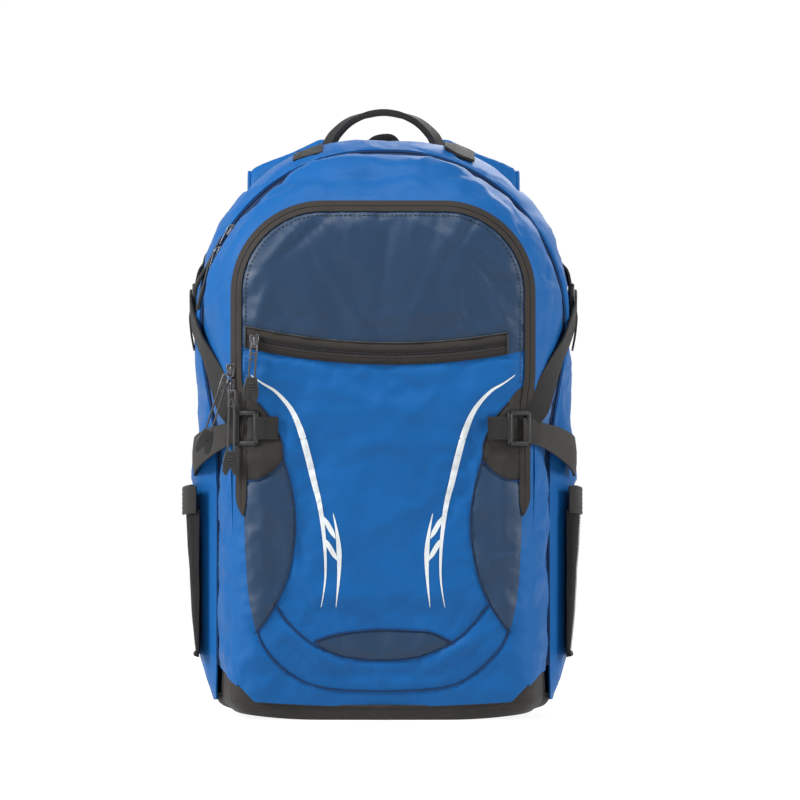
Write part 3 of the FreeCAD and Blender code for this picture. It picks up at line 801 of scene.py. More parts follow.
def make_front_band():
    """The band between the main zip and the arch zip, across the height where the front folds
    down.
    """
    depths = [-31.4, -33, -36, -40, -44, -48, -52, -56, -60, -64, -68, -72, -76, -80, -84,
              -87.5, -90.5, -93, -95.2]
    rows = [outline(y, 45.0, (34, 26, 46, 8)) for y in depths]
    last = len(rows) - 1
    # the front corners drop to the base's slanting edge
    low_count = 34
    for row in rows:
        for index, p in enumerate(row):
            k = min(index, len(row) - 1 - index)
            if k < low_count:
                floor = base_top(abs(p.x)) - 1
                p.z += (floor - 45.0) * (1 - k / low_count)

    def swell(p, i, j):
        fade = edge_fade(i, last, 5.0)
        wave = 1.6 * ruffle(p, 60, 11.1) + 1.8 * ridge(p, 40, 2.3, (0.6, 1, 1))
        wave += 1.0 * ridge(p, 20, 7.7, (0.7, 1, 1))
        for centre, spread, height, turn in TOP_FOLDS:
            wave += bump_at((p.x, p.z), centre, spread, 1.5 * height, turn)
        round_out = 1.2 + 2.2 * clamp((p.z - 330) / 100)
        round_out *= math.sin(math.pi * i / last) ** 0.8
        tuck = -2.0 * math.exp(-(i / 1.6) ** 2)
        return fade * wave + round_out + tuck
    under = push_out(rows, lambda p, i, j: -0.6)
    rows = simulate_rows(push_out(rows, swell), 0.4, 0.012, 3.0)
    for row, flat_row in zip(rows, under):
        for j, p in enumerate(row):
            if abs(p.x) < 112:
                continue
            reach = min(near_line(p.y, p.z, ARM_LINE), near_line(p.y, p.z, WING_LINE))
            row[j] = p.lerp(flat_row[j], min(1.6 * math.exp(-(reach / 22) ** 2), 1))
    bm = grid(rows, thick=1.4)
    bend_low(piece("front_band", bm, "blue_nylon"), "front_gusset_upper", "front_gusset_lower")


# ---------------------------------------------------------------- front panel surface
ARCH_HALF, ARCH_TOP, ARCH_CORNER = 131.5, 451.5, 79.0
FRONT_Y = -95.4
PILLOW = 15.0


def inside(x, z):
    """Distance in from the arch's border, negative outside."""
    ax = abs(x)
    x_mid, z_mid = ARCH_HALF - ARCH_CORNER, ARCH_TOP - ARCH_CORNER
    if z > z_mid and ax > x_mid:
        return ARCH_CORNER - math.hypot(ax - x_mid, z - z_mid)
    if z > z_mid:
        return ARCH_TOP - z
    return min(ARCH_HALF - ax, ARCH_TOP - z)


PANEL_FOLDS = [
    # folds of the navy panel: short creases gathered at the zip, and long soft ones
    ((-76, 428), (14, 2.0), -1.2, -52), ((-58, 432), (15, 2.0), -1.1, -62),
    ((-40, 433), (13, 1.9), -0.9, -75), ((-22, 434), (12, 2.0), -0.8, 92),
    ((-3, 434), (14, 2.2), -0.8, 88), ((22, 434), (12, 2.0), -0.8, 84),
    ((46, 432), (14, 2.1), -0.9, 76), ((72, 424), (15, 2.0), -1.0, 56),
    ((-112, 392), (12, 2.0), -1.0, 8), ((-110, 370), (14, 2.0), -0.8, -6),
    ((108, 384), (13, 2.0), -0.9, -10), ((-50, 395), (34, 3.0), 0.9, -60),
    ((0, 390), (36, 3.4), -0.8, 84), ((40, 385), (34, 3.2), 0.8, 66),
    ((-95, 405), (28, 3.2), 1.5, 52), ((-70, 420), (30, 3.0), -1.3, 40),
    ((60, 418), (34, 4.0), 1.4, -28), ((85, 395), (30, 3.6), -1.4, -48),
    ((20, 352), (60, 4.0), 1.2, 4), ((-60, 350), (40, 3.6), -1.0, -8),
    ((98, 362), (22, 3.0), 1.2, -60), ((-105, 365), (20, 3.2), 1.0, 70),
    # folds of the blue centre panel
    ((-40, 285), (50, 4.0), 1.0, -14), ((40, 290), (46, 4.4), -0.9, 12),
    ((0, 240), (60, 6.0), 0.8, 2), ((-30, 160), (8, 50), 0.9, 6), ((30, 150), (8, 50), -0.8, -6),
    ((0, 110), (50, 6.0), 0.9, 0), ((-60, 60), (40, 3.6), 1.3, -32),
    ((60, 58), (40, 3.6), 1.3, 32), ((0, 40), (70, 4.0), -1.2, 0),
    ((-105, 150), (4, 50), 1.0, 0), ((105, 150), (4, 50), 1.0, 0),
]
SEAM_U = [(-92, 99), (-83, 86), (-67, 71), (-52, 62), (-35, 56), (-14, 53), (15, 53), (33, 56),
          (50, 63), (67, 73), (80, 86), (92, 101)]
SEAM_LOW = [(-109, 77), (-104, 65), (-93, 51), (-80, 40), (-64, 32), (-40, 27), (0, 25.5),
            (40, 27), (64, 32), (80, 41), (94, 54), (104, 66), (110, 79)]


def seam_dip(x, z, line, depth, reach):
    """A groove along a seam."""
    return depth * math.exp(-(near_line(x, z, line) / reach) ** 2)


def front_shape(x, z):
    """The outward rise of the front panel at x, z, before cloth moves it."""
    d = max(inside(x, z), 0)
    rise = PILLOW * (1 - math.exp(-d / 10))
    low = clamp((z - 12) / 70)
    rise *= 0.55 + 0.45 * low * (2 - low)
    p = Vector((x, 0, z))
    calm = min(d / 12, 1) * clamp((z - 14) / 12)
    wave = 1.5 * ruffle(p, 64, 4.4) + 1.2 * ridge(p, 42, 9.4) + 0.55 * ridge(p, 19, 1.4)
    for centre, spread, height, turn in PANEL_FOLDS:
        wave += bump_at((x, z), centre, spread, 1.7 * height, turn)
    zip_line = pocket_arc(x)
    groove = -1.6 * math.exp(-((z - zip_line - 11) / 3.0) ** 2)
    groove += -1.6 * math.exp(-((z - zip_line + 11) / 3.0) ** 2)
    flat = math.exp(-((z - zip_line) / 11) ** 4)
    wave = wave * (1 - 0.8 * flat) + (groove if abs(x) < 122 else 0)
    if 20 < z < 110:
        wave -= seam_dip(x, z, SEAM_U, 1.7, 3.2)
        wave -= seam_dip(x, z, SEAM_LOW, 1.5, 3.0)
    return rise + wave * calm


def pocket_arc(x):
    """Middle height of the horizontal pocket zip."""
    radius = 570.0
    return 319.0 + radius - math.sqrt(radius ** 2 - (x - 8) ** 2)


FIELD_STEP = 4.0
FIELD_X, FIELD_LOW, FIELD_HIGH = 132.0, 8.0, 456.0


def nearest(x, z, line):
    """Distance from a place to a line of 2-D vectors."""
    p = Vector((x, z))
    best = 1e9
    for a, b in zip(line, line[1:]):
        d = b - a
        t = clamp((p - a).dot(d) / max(d.length_squared, 1e-9))
        best = min(best, (p - a - d * t).length)
    return best


def near_line(x, z, line):
    return nearest(x, z, [Vector(p) for p in line])


def edge_distance(x, z, points):
    """Distance from a place to a closed outline."""
    return nearest(x, z, points + points[:1])


def make_field():
    """Heights of the front panel on a grid: the designed shape, moved by the cloth run."""
    across = int(2 * FIELD_X / FIELD_STEP) + 1
    up = int((FIELD_HIGH - FIELD_LOW) / FIELD_STEP) + 1
    grid_points = []
    for i in range(up):
        for j in range(across):
            x = -FIELD_X + j * FIELD_STEP
            z = FIELD_LOW + i * FIELD_STEP
            grid_points.append(Vector((x, -front_shape(x, z), z)))
    seams = [SEAM_U, SEAM_LOW, LEAF_EDGE, [(-x, z) for x, z in LEAF_EDGE], LENS_TOP]
    held = []
    for p in grid_points:
        weight = 0.0
        if inside(p.x, p.z) < 7 or p.z < 22 or abs(p.z - pocket_arc(p.x)) < 10:
            weight = 1.0
        elif min(near_line(p.x, p.z, seam) for seam in seams) < 2.6:
            weight = 0.8
        held.append(weight)
    faces = quads(up, across)
    grid_points = simulate(grid_points, faces, held, 0.5, 0.014, 3.5)
    tree = BVHTree.FromPolygons(grid_points, faces)
    heights = []
    for i in range(up):
        row = []
        for j in range(across):
            x = -FIELD_X + j * FIELD_STEP
            z = FIELD_LOW + i * FIELD_STEP
            height = -grid_points[i * across + j].y
            hit = tree.ray_cast(Vector((x, -200, z)), Vector((0, 1, 0)))[0]
            if hit:
                height = -hit.y
            row.append(height)
        heights.append(row)
    return heights


def front_rise(x, z):
    """Height of the front surface over its plane, read smoothly from the field."""
    u = min(max((x + FIELD_X) / FIELD_STEP, 0), len(FIELD[0]) - 1.001)
    v = min(max((z - FIELD_LOW) / FIELD_STEP, 0), len(FIELD) - 1.001)
    j, i = int(u), int(v)
    a, b = u - j, v - i
    a, b = a * a * (3 - 2 * a) * 0.4 + a * 0.6, b * b * (3 - 2 * b) * 0.4 + b * 0.6
    low = FIELD[i][j] * (1 - a) + FIELD[i][j + 1] * a
    high = FIELD[i + 1][j] * (1 - a) + FIELD[i + 1][j + 1] * a
    return low * (1 - b) + high * b


def front_point(x, z, lift=0.0):
    """A point of the front panel's outer surface, lifted along -Y."""
    return Vector((x, FRONT_Y - front_rise(x, z) - lift, z))


def clip_heights(points, low, high):
    """Clips a closed X-Z outline to a range of heights."""
    for limit, keep_above in ((low, True), (high, False)):
        if limit is None:
            continue
        kept = []
        count = len(points)
        for i in range(count):
            a, b = points[i], points[(i + 1) % count]
            a_in = a[1] >= limit if keep_above else a[1] <= limit
            b_in = b[1] >= limit if keep_above else b[1] <= limit
            if a_in:
                kept.append(a)
            if a_in != b_in:
                t = (limit - a[1]) / (b[1] - a[1])
                kept.append(Vector((a[0] + (b[0] - a[0]) * t, limit)))
        points = kept
        if len(points) < 3:
            return []
    return points


def in_outline(x, z, points):
    odd = False
    for (x0, z0), (x1, z1) in zip(points, points[1:] + points[:1]):
        if (z0 > z) != (z1 > z) and x < (x1 - x0) * (z - z0) / (z1 - z0) + x0:
            odd = not odd
    return odd


def spots(border, corner, step, rise, shift, margin):
    """Places inside a closed outline in rows from a corner, every second row shifted."""
    found = []
    right, top = max(p[0] for p in border), max(p[1] for p in border)
    row, z = 0, corner[1]
    while z < top:
        x = corner[0] + (shift if row % 2 else 0)
        while x < right:
            if in_outline(x, z, border) and edge_distance(x, z, border) > margin:
                found.append(Vector((x, z)))
            x += step
        z += rise
        row += 1
    return found


def filled(border, interior):
    """Triangles over a closed outline and the places inside it: points and faces."""
    count = len(border)
    edges = [(k, (k + 1) % count) for k in range(count)]
    found = geometry.delaunay_2d_cdt(border + interior, edges, [list(range(count))], 1, 1e-4)
    return found[0], found[2]


def drop_loose(bm):
    loose = [v for v in bm.verts if not v.link_faces]
    bmesh.ops.delete(bm, geom=loose, context="VERTS")


def cloth_patch(points, lift, puff, thick, full):
    """A panel of cloth over the front surface, cut to a closed outline of X-Z points.

    lift holds it off the surface, puff crowns it between its edges. full is the outline
    before it was cut at a fold, so that only true edges are pulled down.
    """
    step = 3.4
    border = resample(points, step * 0.8, closed=True)
    corner = [math.floor(min(p[k] for p in border) / step) * step for k in (0, 1)]
    flat, faces = filled(border, spots(border, corner, step, step * 0.87, step / 2,
                                       step * 0.55))
    bm = bmesh.new()
    layer = bm.loops.layers.uv.new("cloth")
    verts = []
    for p in flat:
        d = edge_distance(p[0], p[1], full)
        crown = puff * (1 - math.exp(-d / 7.0))
        rim = lift * (0.15 + 0.85 * min(d / 1.6, 1))
        verts.append(bm.verts.new(front_point(p[0], p[1], rim + crown)))
    for face in faces:
        made = bm.faces.new([verts[k] for k in face])
        for loop in made.loops:
            loop[layer].uv = (loop.vert.co.x * MM, loop.vert.co.z * MM)
    drop_loose(bm)
    if thick:
        for face in bm.faces:
            if face.normal.y > 0:
                face.normal_flip()
        thicken(bm, thick)
    return bm


def on_front(name, points, material, lift=0.0, puff=0.0, thick=0.0, replaces=((), ())):
    """Cloth on the front panel, split at the height that both folds leave alone."""
    shape = [Vector((p[0], p[1])) for p in points]
    foot, head = min(p[1] for p in shape), max(p[1] for p in shape)
    if foot < SPLIT_Z:
        low = clip_heights(shape, None, SPLIT_Z)
        obj = piece(name + ("_low" if head > SPLIT_Z else ""),
                    cloth_patch(low, lift, puff, thick, shape), material)
        if head < FOLD_Z - 7:
            ride(obj, "pack", *replaces[0])
        else:
            bend_low(obj, *replaces[0])
    if head > SPLIT_Z:
        high = clip_heights(shape, SPLIT_Z, None)
        obj = piece(name + ("_high" if foot < SPLIT_Z else ""),
                    cloth_patch(high, lift, puff, thick, shape), material)
        if foot > FLAP_Z + 16:
            ride(obj, "arch_flap", *replaces[1])
        else:
            bend_high(obj, *replaces[1])


def arch_line(inset, foot, side_in=0.0):
    """The arch as X-Z points from foot to foot; the legs lean in below by side_in."""
    half, top, corner = ARCH_HALF - inset, ARCH_TOP - inset, ARCH_CORNER - inset
    count = 16

    def leg(z):
        low = clamp((305 - z) / 45)
        return half - side_in * low * low * (3 - 2 * low)
    left = []
    z = foot
    while z < top - corner - 1:
        left.append((-leg(z), z))
        z += 6
    for k in range(count + 1):
        a = math.pi / 2 * k / count
        left.append((-(half - corner + corner * math.cos(a)),
                     top - corner + corner * math.sin(a)))
    right = [(-x, z) for x, z in reversed(left)]
    middle = []
    width = half - corner
    for k in range(1, 12):
        middle.append((-width + 2 * width * k / 12, top))
    return left + middle + right


def side_mirror(points, side):
    return [(x * side, z) for x, z in points]


PATCH = [(-122, 291), (-116, 287), (-109, 277), (-98, 264), (-91, 251), (-87, 240), (-86, 229),
         (-89, 222), (-95, 217), (-106, 210), (-120, 209), (-122, 232)]
LEAF = [(-120, 207), (-106, 209), (-95, 216), (-86, 226), (-80, 205), (-76.5, 182),
        (-76.5, 160), (-80, 137), (-85, 119), (-93, 101), (-101, 88), (-110, 77), (-112.5, 85),
        (-116, 101), (-118.5, 122), (-120, 150), (-121, 180)]
LENS = [(-60, 68.5), (-44, 74), (-22, 77.5), (1, 79), (24, 78), (42, 76.5), (62, 67),
        (49, 61.5), (33, 55), (15, 52), (-14, 52), (-35, 55), (-50, 61)]
LEAF_EDGE = PATCH[2:6] + [(-86, 227)] + LEAF[4:12]
LENS_TOP = LENS[:7]
STRIPE = [(-115.5, 301), (-105, 293.5), (-93, 286), (-80, 271), (-71.5, 252), (-64.5, 227),
          (-60, 208), (-55.5, 190), (-52.5, 171), (-50.5, 150), (-50, 128), (-51.5, 112),
          (-54, 98)]
STRIPE_SHORT = [(-43.5, 181), (-40.5, 167), (-38.5, 152), (-38, 136), (-39, 118), (-41, 98)]
BARS = [[(-52, 178), (-41, 158)], [(-51, 159), (-39.5, 139)]]


def stripe_outline(line, wide, taper_start=0.35, taper_end=0.6):
    """A printed stripe with thin ends, as a closed outline round a centre line."""
    points = rounded([(x, z) for x, z in line], 3.0) if len(line) > 2 else \
        resample(line, 3.0)
    count = len(points) - 1
    left, right = [], []
    for i, p in enumerate(points):
        a, b = points[max(i - 1, 0)], points[min(i + 1, count)]
        along = (b - a).normalized()
        side = Vector((-along.y, along.x))
        t = i / count
        size = wide / 2 * min(1, 0.12 + t / taper_start) * min(1, 0.10 + (1 - t) / taper_end)
        left.append(p + side * size)
        right.append(p - side * size)
    return left + right[::-1]


def make_front_panels():
    arch = arch_line(3.0, FOLD_Z)
    half = ARCH_HALF - 0.4
    # ground layer: the blue cloth from the base to the pocket zip
    leg_right = [(half, z) for z in range(318, 46, -6)]
    leg_left = [(-x, z) for x, z in reversed(leg_right)]
    bottom = [(x, base_top(x)) for x in range(128, -129, -4)]
    blue = [(x, pocket_arc(x) - 8.6) for x in range(-128, 129, 4)] + leg_right + bottom + leg_left
    on_front("centre_panel", blue, "blue_nylon", 0.0, 0.0, 1.4,
             (("front_panel_lower",), ("front_panel_middle", "flap_panel_lower")))
    # navy cloth above the pocket zip
    top = [p for p in arch if p[1] > pocket_arc(p[0]) - 8.6]
    navy = top + [(x, pocket_arc(x) - 9.2) for x in range(126, -127, -4)]
    on_front("navy_panel", navy, "navy_nylon", 0.15, 0.4, 1.4, ((), ("flap_panel_upper",)))
    # pocket zip: lower and upper tape, a coil between them and a dark lip above, which is partly
    # the edge binding and partly painted shadow along the top edge
    span = list(range(-120, 109, 3))
    for label, offsets, nodes in (("lower", (-9.3, -8.4, -4.6, -1.4, -0.6), ("pocket_zip",)),
                                  ("upper", (0.6, 1.4, 4.6, 8.4, 9.3), ("pocket_lining",))):
        rows = []
        for offset, lift in zip(offsets, (0.4, 1.5, 1.7, 1.5, 0.7)):
            rows.append([front_point(x, pocket_arc(x) + offset, lift) for x in span])
        ride(piece("pocket_zip_tape_" + label, grid(rows, thick=0.8), "zip_tape"), "arch_flap",
             *nodes)
        for offset in ((-8.0, -3.2) if label == "lower" else (3.2,)):
            line = [front_point(x, pocket_arc(x) + offset, 1.9) for x in span]
            add("pocket_zip_stitches_%s%d" % (label, abs(offset)), stitches(line, FORWARD),
                "thread_dark", "arch_flap")
    coil_line = [front_point(x, pocket_arc(x), 1.5) for x in span]
    add("pocket_zip_coil", teeth(coil_line, FORWARD, wide=2.4), "coil_plastic", "arch_flap")
    # the near-black lip: partly the tape's edge binding, partly painted shadow along the zip's
    # top edge
    lip_and_shadow = [front_point(x, pocket_arc(x) + 9.6, 1.3) for x in span]
    add("pocket_zip_lip_and_shadow", tube(lip_and_shadow, 0.9), "coil_plastic", "arch_flap")
    for x, label in ((-119.5, "left"), (108.5, "right")):
        line = [front_point(x, pocket_arc(x) + k, 1.9) for k in (-9, -4, 0, 4, 9)]
        add("pocket_zip_end_" + label, tube(line, 0.9), "coil_plastic", "arch_flap")
    for side, name in ((1, "left"), (-1, "right")):
        on_front("patch_" + name, side_mirror(rounded_closed(PATCH), side), "patch_fabric",
                 1.3, 0.6)
        on_front("leaf_" + name, side_mirror(rounded_closed(LEAF), side), "navy_nylon",
                 1.1, 0.6)
        on_front("stripe_" + name, side_mirror(stripe_outline(STRIPE, 5.6), side),
                 "print_white", 1.9)
        on_front("stripe_short_" + name,
                 side_mirror(stripe_outline(STRIPE_SHORT, 4.8, 0.5, 0.7), side), "print_white",
                 1.8)
        for k, bar in enumerate(BARS):
            on_front("stripe_bar_%d_%s" % (k, name),
                     side_mirror(stripe_outline(bar, 4.2, 0.3, 0.3), side), "print_white", 1.8)
        low = side_mirror([p for p in LEAF_EDGE if p[1] < SPLIT_Z], side)
        high = side_mirror([p for p in LEAF_EDGE if p[1] > SPLIT_Z - 8], side)
        bend_low(seam_line("leaf_seam_" + name, low))
        bend_high(seam_line("patch_seam_" + name, high))
        top = side_mirror([(-118, 209), (-106, 210), (-95, 217), (-86, 227)], side)
        bend_low(seam_line("leaf_top_seam_" + name, top))
        run = side_mirror([(x - 2.0, z - 1.0) for x, z in LEAF_EDGE if z < 205], side)
        seam_row("leaf_stitches_" + name, run, 0.0, "thread_dark")
    on_front("lens", rounded_closed(LENS), "navy_nylon", 1.1, 0.5)
    ride(seam_line("seam_u_line", SEAM_U), "pack")
    ride(seam_line("seam_low_line", SEAM_LOW), "pack")
    ride(seam_line("lens_line", LENS_TOP), "pack")
    seam_row("seam_u_stitches", SEAM_U, -2.6, "thread_blue")
    seam_row("seam_low_stitches", SEAM_LOW, -2.6, "thread_blue")
    seam_row("lens_stitches", LENS_TOP, 2.0, "thread_blue")


def seam_line(name, line):
    """The dark shadow line of a seam on the front panel: a thin sunk cord."""
    points = rounded([Vector((x, z)) for x, z in line], 2.5)
    surface = [front_point(p[0], p[1], 0.75) for p in points]
    return piece(name, tube(surface, 0.65, sides=6), "seam_and_shade_blue")


def rounded_closed(points):
    return [(p[0], p[1]) for p in resample([Vector(p) for p in points], 2.5, closed=True)]


def seam_row(name, line, shift, material):
    """Stitches beside a seam of the front panel."""
    points = rounded([Vector((x, z + shift)) for x, z in line], 2.0)
    surface = [front_point(p[0], p[1], 0.15) for p in points]
    add(name, stitches(surface, FORWARD), material, "pack")


# ---------------------------------------------------------------- arch zip and main zip
def tape_between(outer, inner, low, high, lift):
    """A narrow tape between two X-Z lines of equal length, over the front surface."""
    rows = [[], [], []]
    for (xo, zo), (xi, zi) in zip(outer, inner):
        if low <= zo <= high:
            for row, t in zip(rows, (0.0, 0.5, 1.0)):
                x, z = xo + (xi - xo) * t, zo + (zi - zo) * t
                row.append(front_point(x, z, lift + (0.35 if t == 0.5 else 0.0)))
    return rows


def make_arch_zip():
    """The zip round the arch: two tapes, a coil; its legs run on below to pointed tips."""
    foot = 178.0
    even = {}
    for label, shrink in (("out", 0.2), ("mid_out", 4.7), ("mid", 5.0), ("mid_in", 5.3),
                          ("in", 9.4)):
        line = arch_line(shrink - 1.0, foot, side_in=4.5)
        total = sum((Vector(b) - Vector(a)).length for a, b in zip(line, line[1:]))
        even[label] = resample([Vector(p) for p in line], total / 190)[:191]
    tip_x = 121.5
    for label, line in even.items():
        for p in line:
            pull = clamp((196 - p[1]) / 18)
            target = math.copysign(tip_x, p[0])
            p[0] += (target - p[0]) * pull * pull
    for name, a, b, inner in (("outer", "out", "mid_out", False),
                              ("inner", "mid_in", "in", True)):
        for s, side in SIDES:
            pick = [k for k, p in enumerate(even[a]) if p[0] * s > 0]
            rows = tape_between([even[a][k] for k in pick], [even[b][k] for k in pick],
                                0, SPLIT_Z + 4, 0.9)
            bend_low(piece("arch_tape_%s_low_%s" % (name, side), grid(rows, thick=0.9),
                           "zip_tape"))
        rows = tape_between(even[a], even[b], SPLIT_Z, 600, 0.9)
        obj = piece("arch_tape_%s_high" % name, grid(rows, thick=0.9), "zip_tape")
        if inner:
            bend_high(obj, "arch_zip_flap_side")
        else:
            ride(obj, "front_lid", "arch_zip_lid_side")
    high = [front_point(p[0], p[1], 0.3) for p in even["mid"] if p[1] > SPLIT_Z]
    add("arch_coil_high", teeth(high, FORWARD, wide=2.2), "zip_tape", "front_lid")
    for s, side in SIDES:
        low = [front_point(p[0], p[1], 0.3) for p in even["mid"]
               if 184 < p[1] <= SPLIT_Z and p[0] * s > 0]
        bend_low(piece("arch_coil_low_" + side, teeth(low, FORWARD, wide=2.2),
                       "zip_tape"))
    for label, shrink in (("flap_edge_stitches", 12.6), ("tape_stitches", 7.6)):
        line = arch_line(shrink - 1.0, FLAP_Z + 18)
        points = [front_point(x, z, 1.3) for x, z in line]
        add(label, stitches(points, FORWARD, tall=0.6), "thread_dark", "arch_flap")


def make_main_zip():
    """The zip over the top: a coil between two dark tapes, in the step up to the crown; the body
    side's tape also serves as painted contact shadow under the crown's edge.
    """
    lid_line = [p for p in outline(-31.4, 45.0) if p.z > FOLD_Z + 4]
    rows = []
    for y, out in ((-33.5, -3.4), (-32.2, -2.4), (-31.2, -2.2), (-30.4, -2.6)):
        rows.append([p + outward_of(p) * out + Vector((0, y + 31.4, 0)) for p in lid_line])
    add("main_tape_lid", grid(rows, thick=0.6), "seam_and_shade_blue", "front_lid", "main_zip_lid_side")
    # the body side's dark tape runs from the band's edge up the slope to the crown: it is the zip
    # tape, and also painted contact shadow under the crown's edge
    body_line = outline(-30.0, 45.0)
    crown_line = outline(-25.8, 45.0)
    rows = []
    for share, out in ((0.0, -3.8), (0.2, -2.2), (0.5, -0.8), (1.0, 0.6)):
        rows.append([a.lerp(b, share) + outward_of(a) * out
                     for a, b in zip(body_line, crown_line)])
    add("main_tape_and_shadow_body", grid(rows, thick=0.6), "seam_and_shade_blue", "pack", "main_zip_body_side")
    coil = [p - outward_of(p) * 2.2 for p in outline(-31.0, 45.0) if p.z > FOLD_Z]
    add("main_coil", teeth(coil, outward_of, wide=2.8), "coil_plastic", "front_lid")
    for side, label in SIDES:
        line = [p - outward_of(p) * 1.0 for p in outline(-30.2, 45.0)
                if p.z <= FOLD_Z + 2 and p.x * side > 0]
        add("side_fold_piping_" + label, tube(line, 1.3, outward=(side, -1, 0)), "seam_and_shade_blue",
            "pack")


def outward_of(p):
    """The outward way of the arch in the X-Z plane."""
    if p.z < CROWN_Z:
        return Vector((math.copysign(1, p.x), 0, 0))
    return Vector((p.x, 0, p.z - CROWN_Z)).normalized()


# ---------------------------------------------------------------- base, back and straps
def make_base():
    """Tub of coated cloth under the bag: rounded bottom edge, raised corners."""
    plan = [(0, 86), (90, 86), (130, 84), (140, 77), (144, 55), (147, 20), (146, -6),
            (141, -27), (137, -60), (129, -85), (112, -95), (70, -101), (0, -105)]
    half = rounded([Vector(p) for p in plan], 4.0)
    loop = half + [Vector((-p[0], p[1])) for p in reversed(half[1:-1])]
    rows = []
    levels = 12
    for k in range(levels + 1):
        row = []
        for p in loop:
            behind = clamp((p[1] + 32) / 9)
            top = base_top(p[0]) * (1 - behind) + 20.0 * behind
            t = k / levels
            z = top * t
            tuck = 8.0 * (1 - min(z / 16.0, 1)) ** 2
            direction = Vector((p[0], p[1])).normalized()
            q = p - direction * tuck
            corner = clamp((abs(p[0]) - 60) / 90) ** 2
            z += 8.0 * corner * (1 - t) ** 2
            crease = 0.5 * ridge(Vector((p[0], p[1], z * 2)), 24, 6.2) * math.sin(math.pi * t)
            row.append(Vector((q[0], q[1], z)) + Vector((direction[0], direction[1], 0)) * crease)
        rows.append(row)
    floor_rows = []
    for shrink in (0.0, 0.3, 0.6, 0.85, 0.97):
        floor_rows.append([Vector((p.x * shrink, p.y * shrink, p.z * shrink ** 2))
                           for p in rows[0]])
    bm = grid(floor_rows + rows, closed=True)
    bmesh.ops.remove_doubles(bm, verts=bm.verts, dist=0.01)
    obj = piece("base_skin", bm, "base_fabric")
    ride(obj, "pack", "base_panel")
    edge = [r + Vector((0, 0, 0.3)) for r in rows[-1]]
    edge.append(edge[0])
    add("base_seam_piping", tube(edge, 1.3, sides=6, outward=(0, 0, 1)), "base_fabric", "pack")


def pad_shape(outline_points, y0, depth):
    """A closed cushion: an X-Z outline crowned towards +Y."""
    border = rounded(outline_points, 5.0, closed=True)
    corner = [min(p[k] for p in border) for k in (0, 1)]
    flat, faces = filled(border, spots(border, corner, 6.0, 6.0, 0, 3))
    bm = bmesh.new()
    layer = bm.loops.layers.uv.new("cloth")
    front, back = [], []
    for p in flat:
        d = edge_distance(p[0], p[1], border)
        rise = depth * (1 - math.exp(-d / 9.0))
        for channel in (110, 190, 270, 350):
            rise -= 2.6 * math.exp(-((p[1] - channel) / 3.6) ** 2) * min(d / 10, 1)
        wave = 0.5 * ruffle(Vector((p[0], 0, p[1])), 26, 2.0) * min(d / 8, 1)
        front.append(bm.verts.new((p[0], y0 + 0.5 + rise + wave, p[1])))
        back.append(bm.verts.new((p[0], y0, p[1])))
    for face in faces:
        made = bm.faces.new([front[k] for k in face])
        under = bm.faces.new([back[k] for k in reversed(face)])
        for loop in list(made.loops) + list(under.loops):
            loop[layer].uv = (loop.vert.co.x * MM, loop.vert.co.z * MM)
    count = len(border)
    for k in range(count):
        n = (k + 1) % count
        bm.faces.new((front[k], front[n], back[n], back[k]))
    drop_loose(bm)
    return bm


def make_back():
    back_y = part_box("back_panel")[0].y / MM
    arch = [(p.x * 0.995 * tuck_under(p), p.z - 1.0) for p in outline(91.0, 15.0)]
    foot = arch[-1][0]
    for k in range(1, 24):
        x = foot * (1 - k / 12)
        arch.append((x, 14 - 8 * (1 - (x / foot) ** 2)))
    rows = []
    for depth, shrink in ((0.0, 1.0), (4.0, 1.004), (7.4, 0.99), (8.0, 0.96), (8.0, 0.5),
                          (8.0, 0.0)):
        row = []
        for x, z in arch:
            row.append(Vector((x * shrink, back_y + depth, 240 + (z - 240) * shrink)))
        rows.append(row)
    bm = grid(rows, closed=True)
    bmesh.ops.remove_doubles(bm, verts=bm.verts, dist=0.01)
    obj = piece("back_skin", bm, "back_mesh")
    ride(obj, "pack", "back_panel")
    pad_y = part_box("back_pads")[0].y / MM
    depth = (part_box("back_pads")[1].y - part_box("back_pads")[0].y) / MM
    shape = [(20, 44), (62, 33), (106, 47), (114, 120), (106, 300), (90, 424), (32, 432),
             (20, 412)]
    for side, label in SIDES:
        bm = inflate(pad_shape([(x * side, z) for x, z in shape], pad_y, depth - 1.0),
                     pressure=4.0, cap=6.0, voxel=5.0)
        obj = piece("back_pad_" + label, bm, "back_mesh")
        ride(obj, "pack", *(("back_pads",) if side < 0 else ()))


def strap_rows(centre_x, profile, wide, thick):
    """Rows of a padded strap's cross section along its side profile."""
    line = rounded([Vector((centre_x, y, z)) for y, z in profile], 6.0)
    rows = []
    total = len(line) - 1
    for i, p in enumerate(line):
        before, after = line[max(i - 1, 0)], line[min(i + 1, total)]
        along = (after - before).normalized()
        normal = along.cross(Vector((1, 0, 0))).normalized()
        t = i / total
        half = wide / 2 * (1 - 0.30 * max(t - 0.55, 0) / 0.45)
        row = []
        sides = 28
        for k in range(sides):
            a = 2 * math.pi * k / sides
            c, s = math.cos(a), math.sin(a)
            across = half * math.copysign(abs(c) ** 0.45, c)
            deep = thick / 2 * math.copysign(abs(s) ** 0.7, s)
            deep *= 1 + 0.05 * ruffle(p + Vector((across, 0, 0)), 18, 2.2)
            # the strap's root is cut on a slope: its outer edge starts lower
            high = clamp((p.z - 440) / 50)
            out = across * math.copysign(1, centre_x) + wide / 2
            drop = 0.36 * max(out - 8, 0) * high - 5.0 * high * (1 - min(out / 30, 1))
            row.append(p + Vector((across, 0, -drop)) + normal * deep)
        rows.append(row)
    return rows


STRAP_PROFILE = [(105, 474), (107, 494), (116, 508), (127, 496), (132.5, 460), (134, 380),
                 (130, 290), (124, 216)]


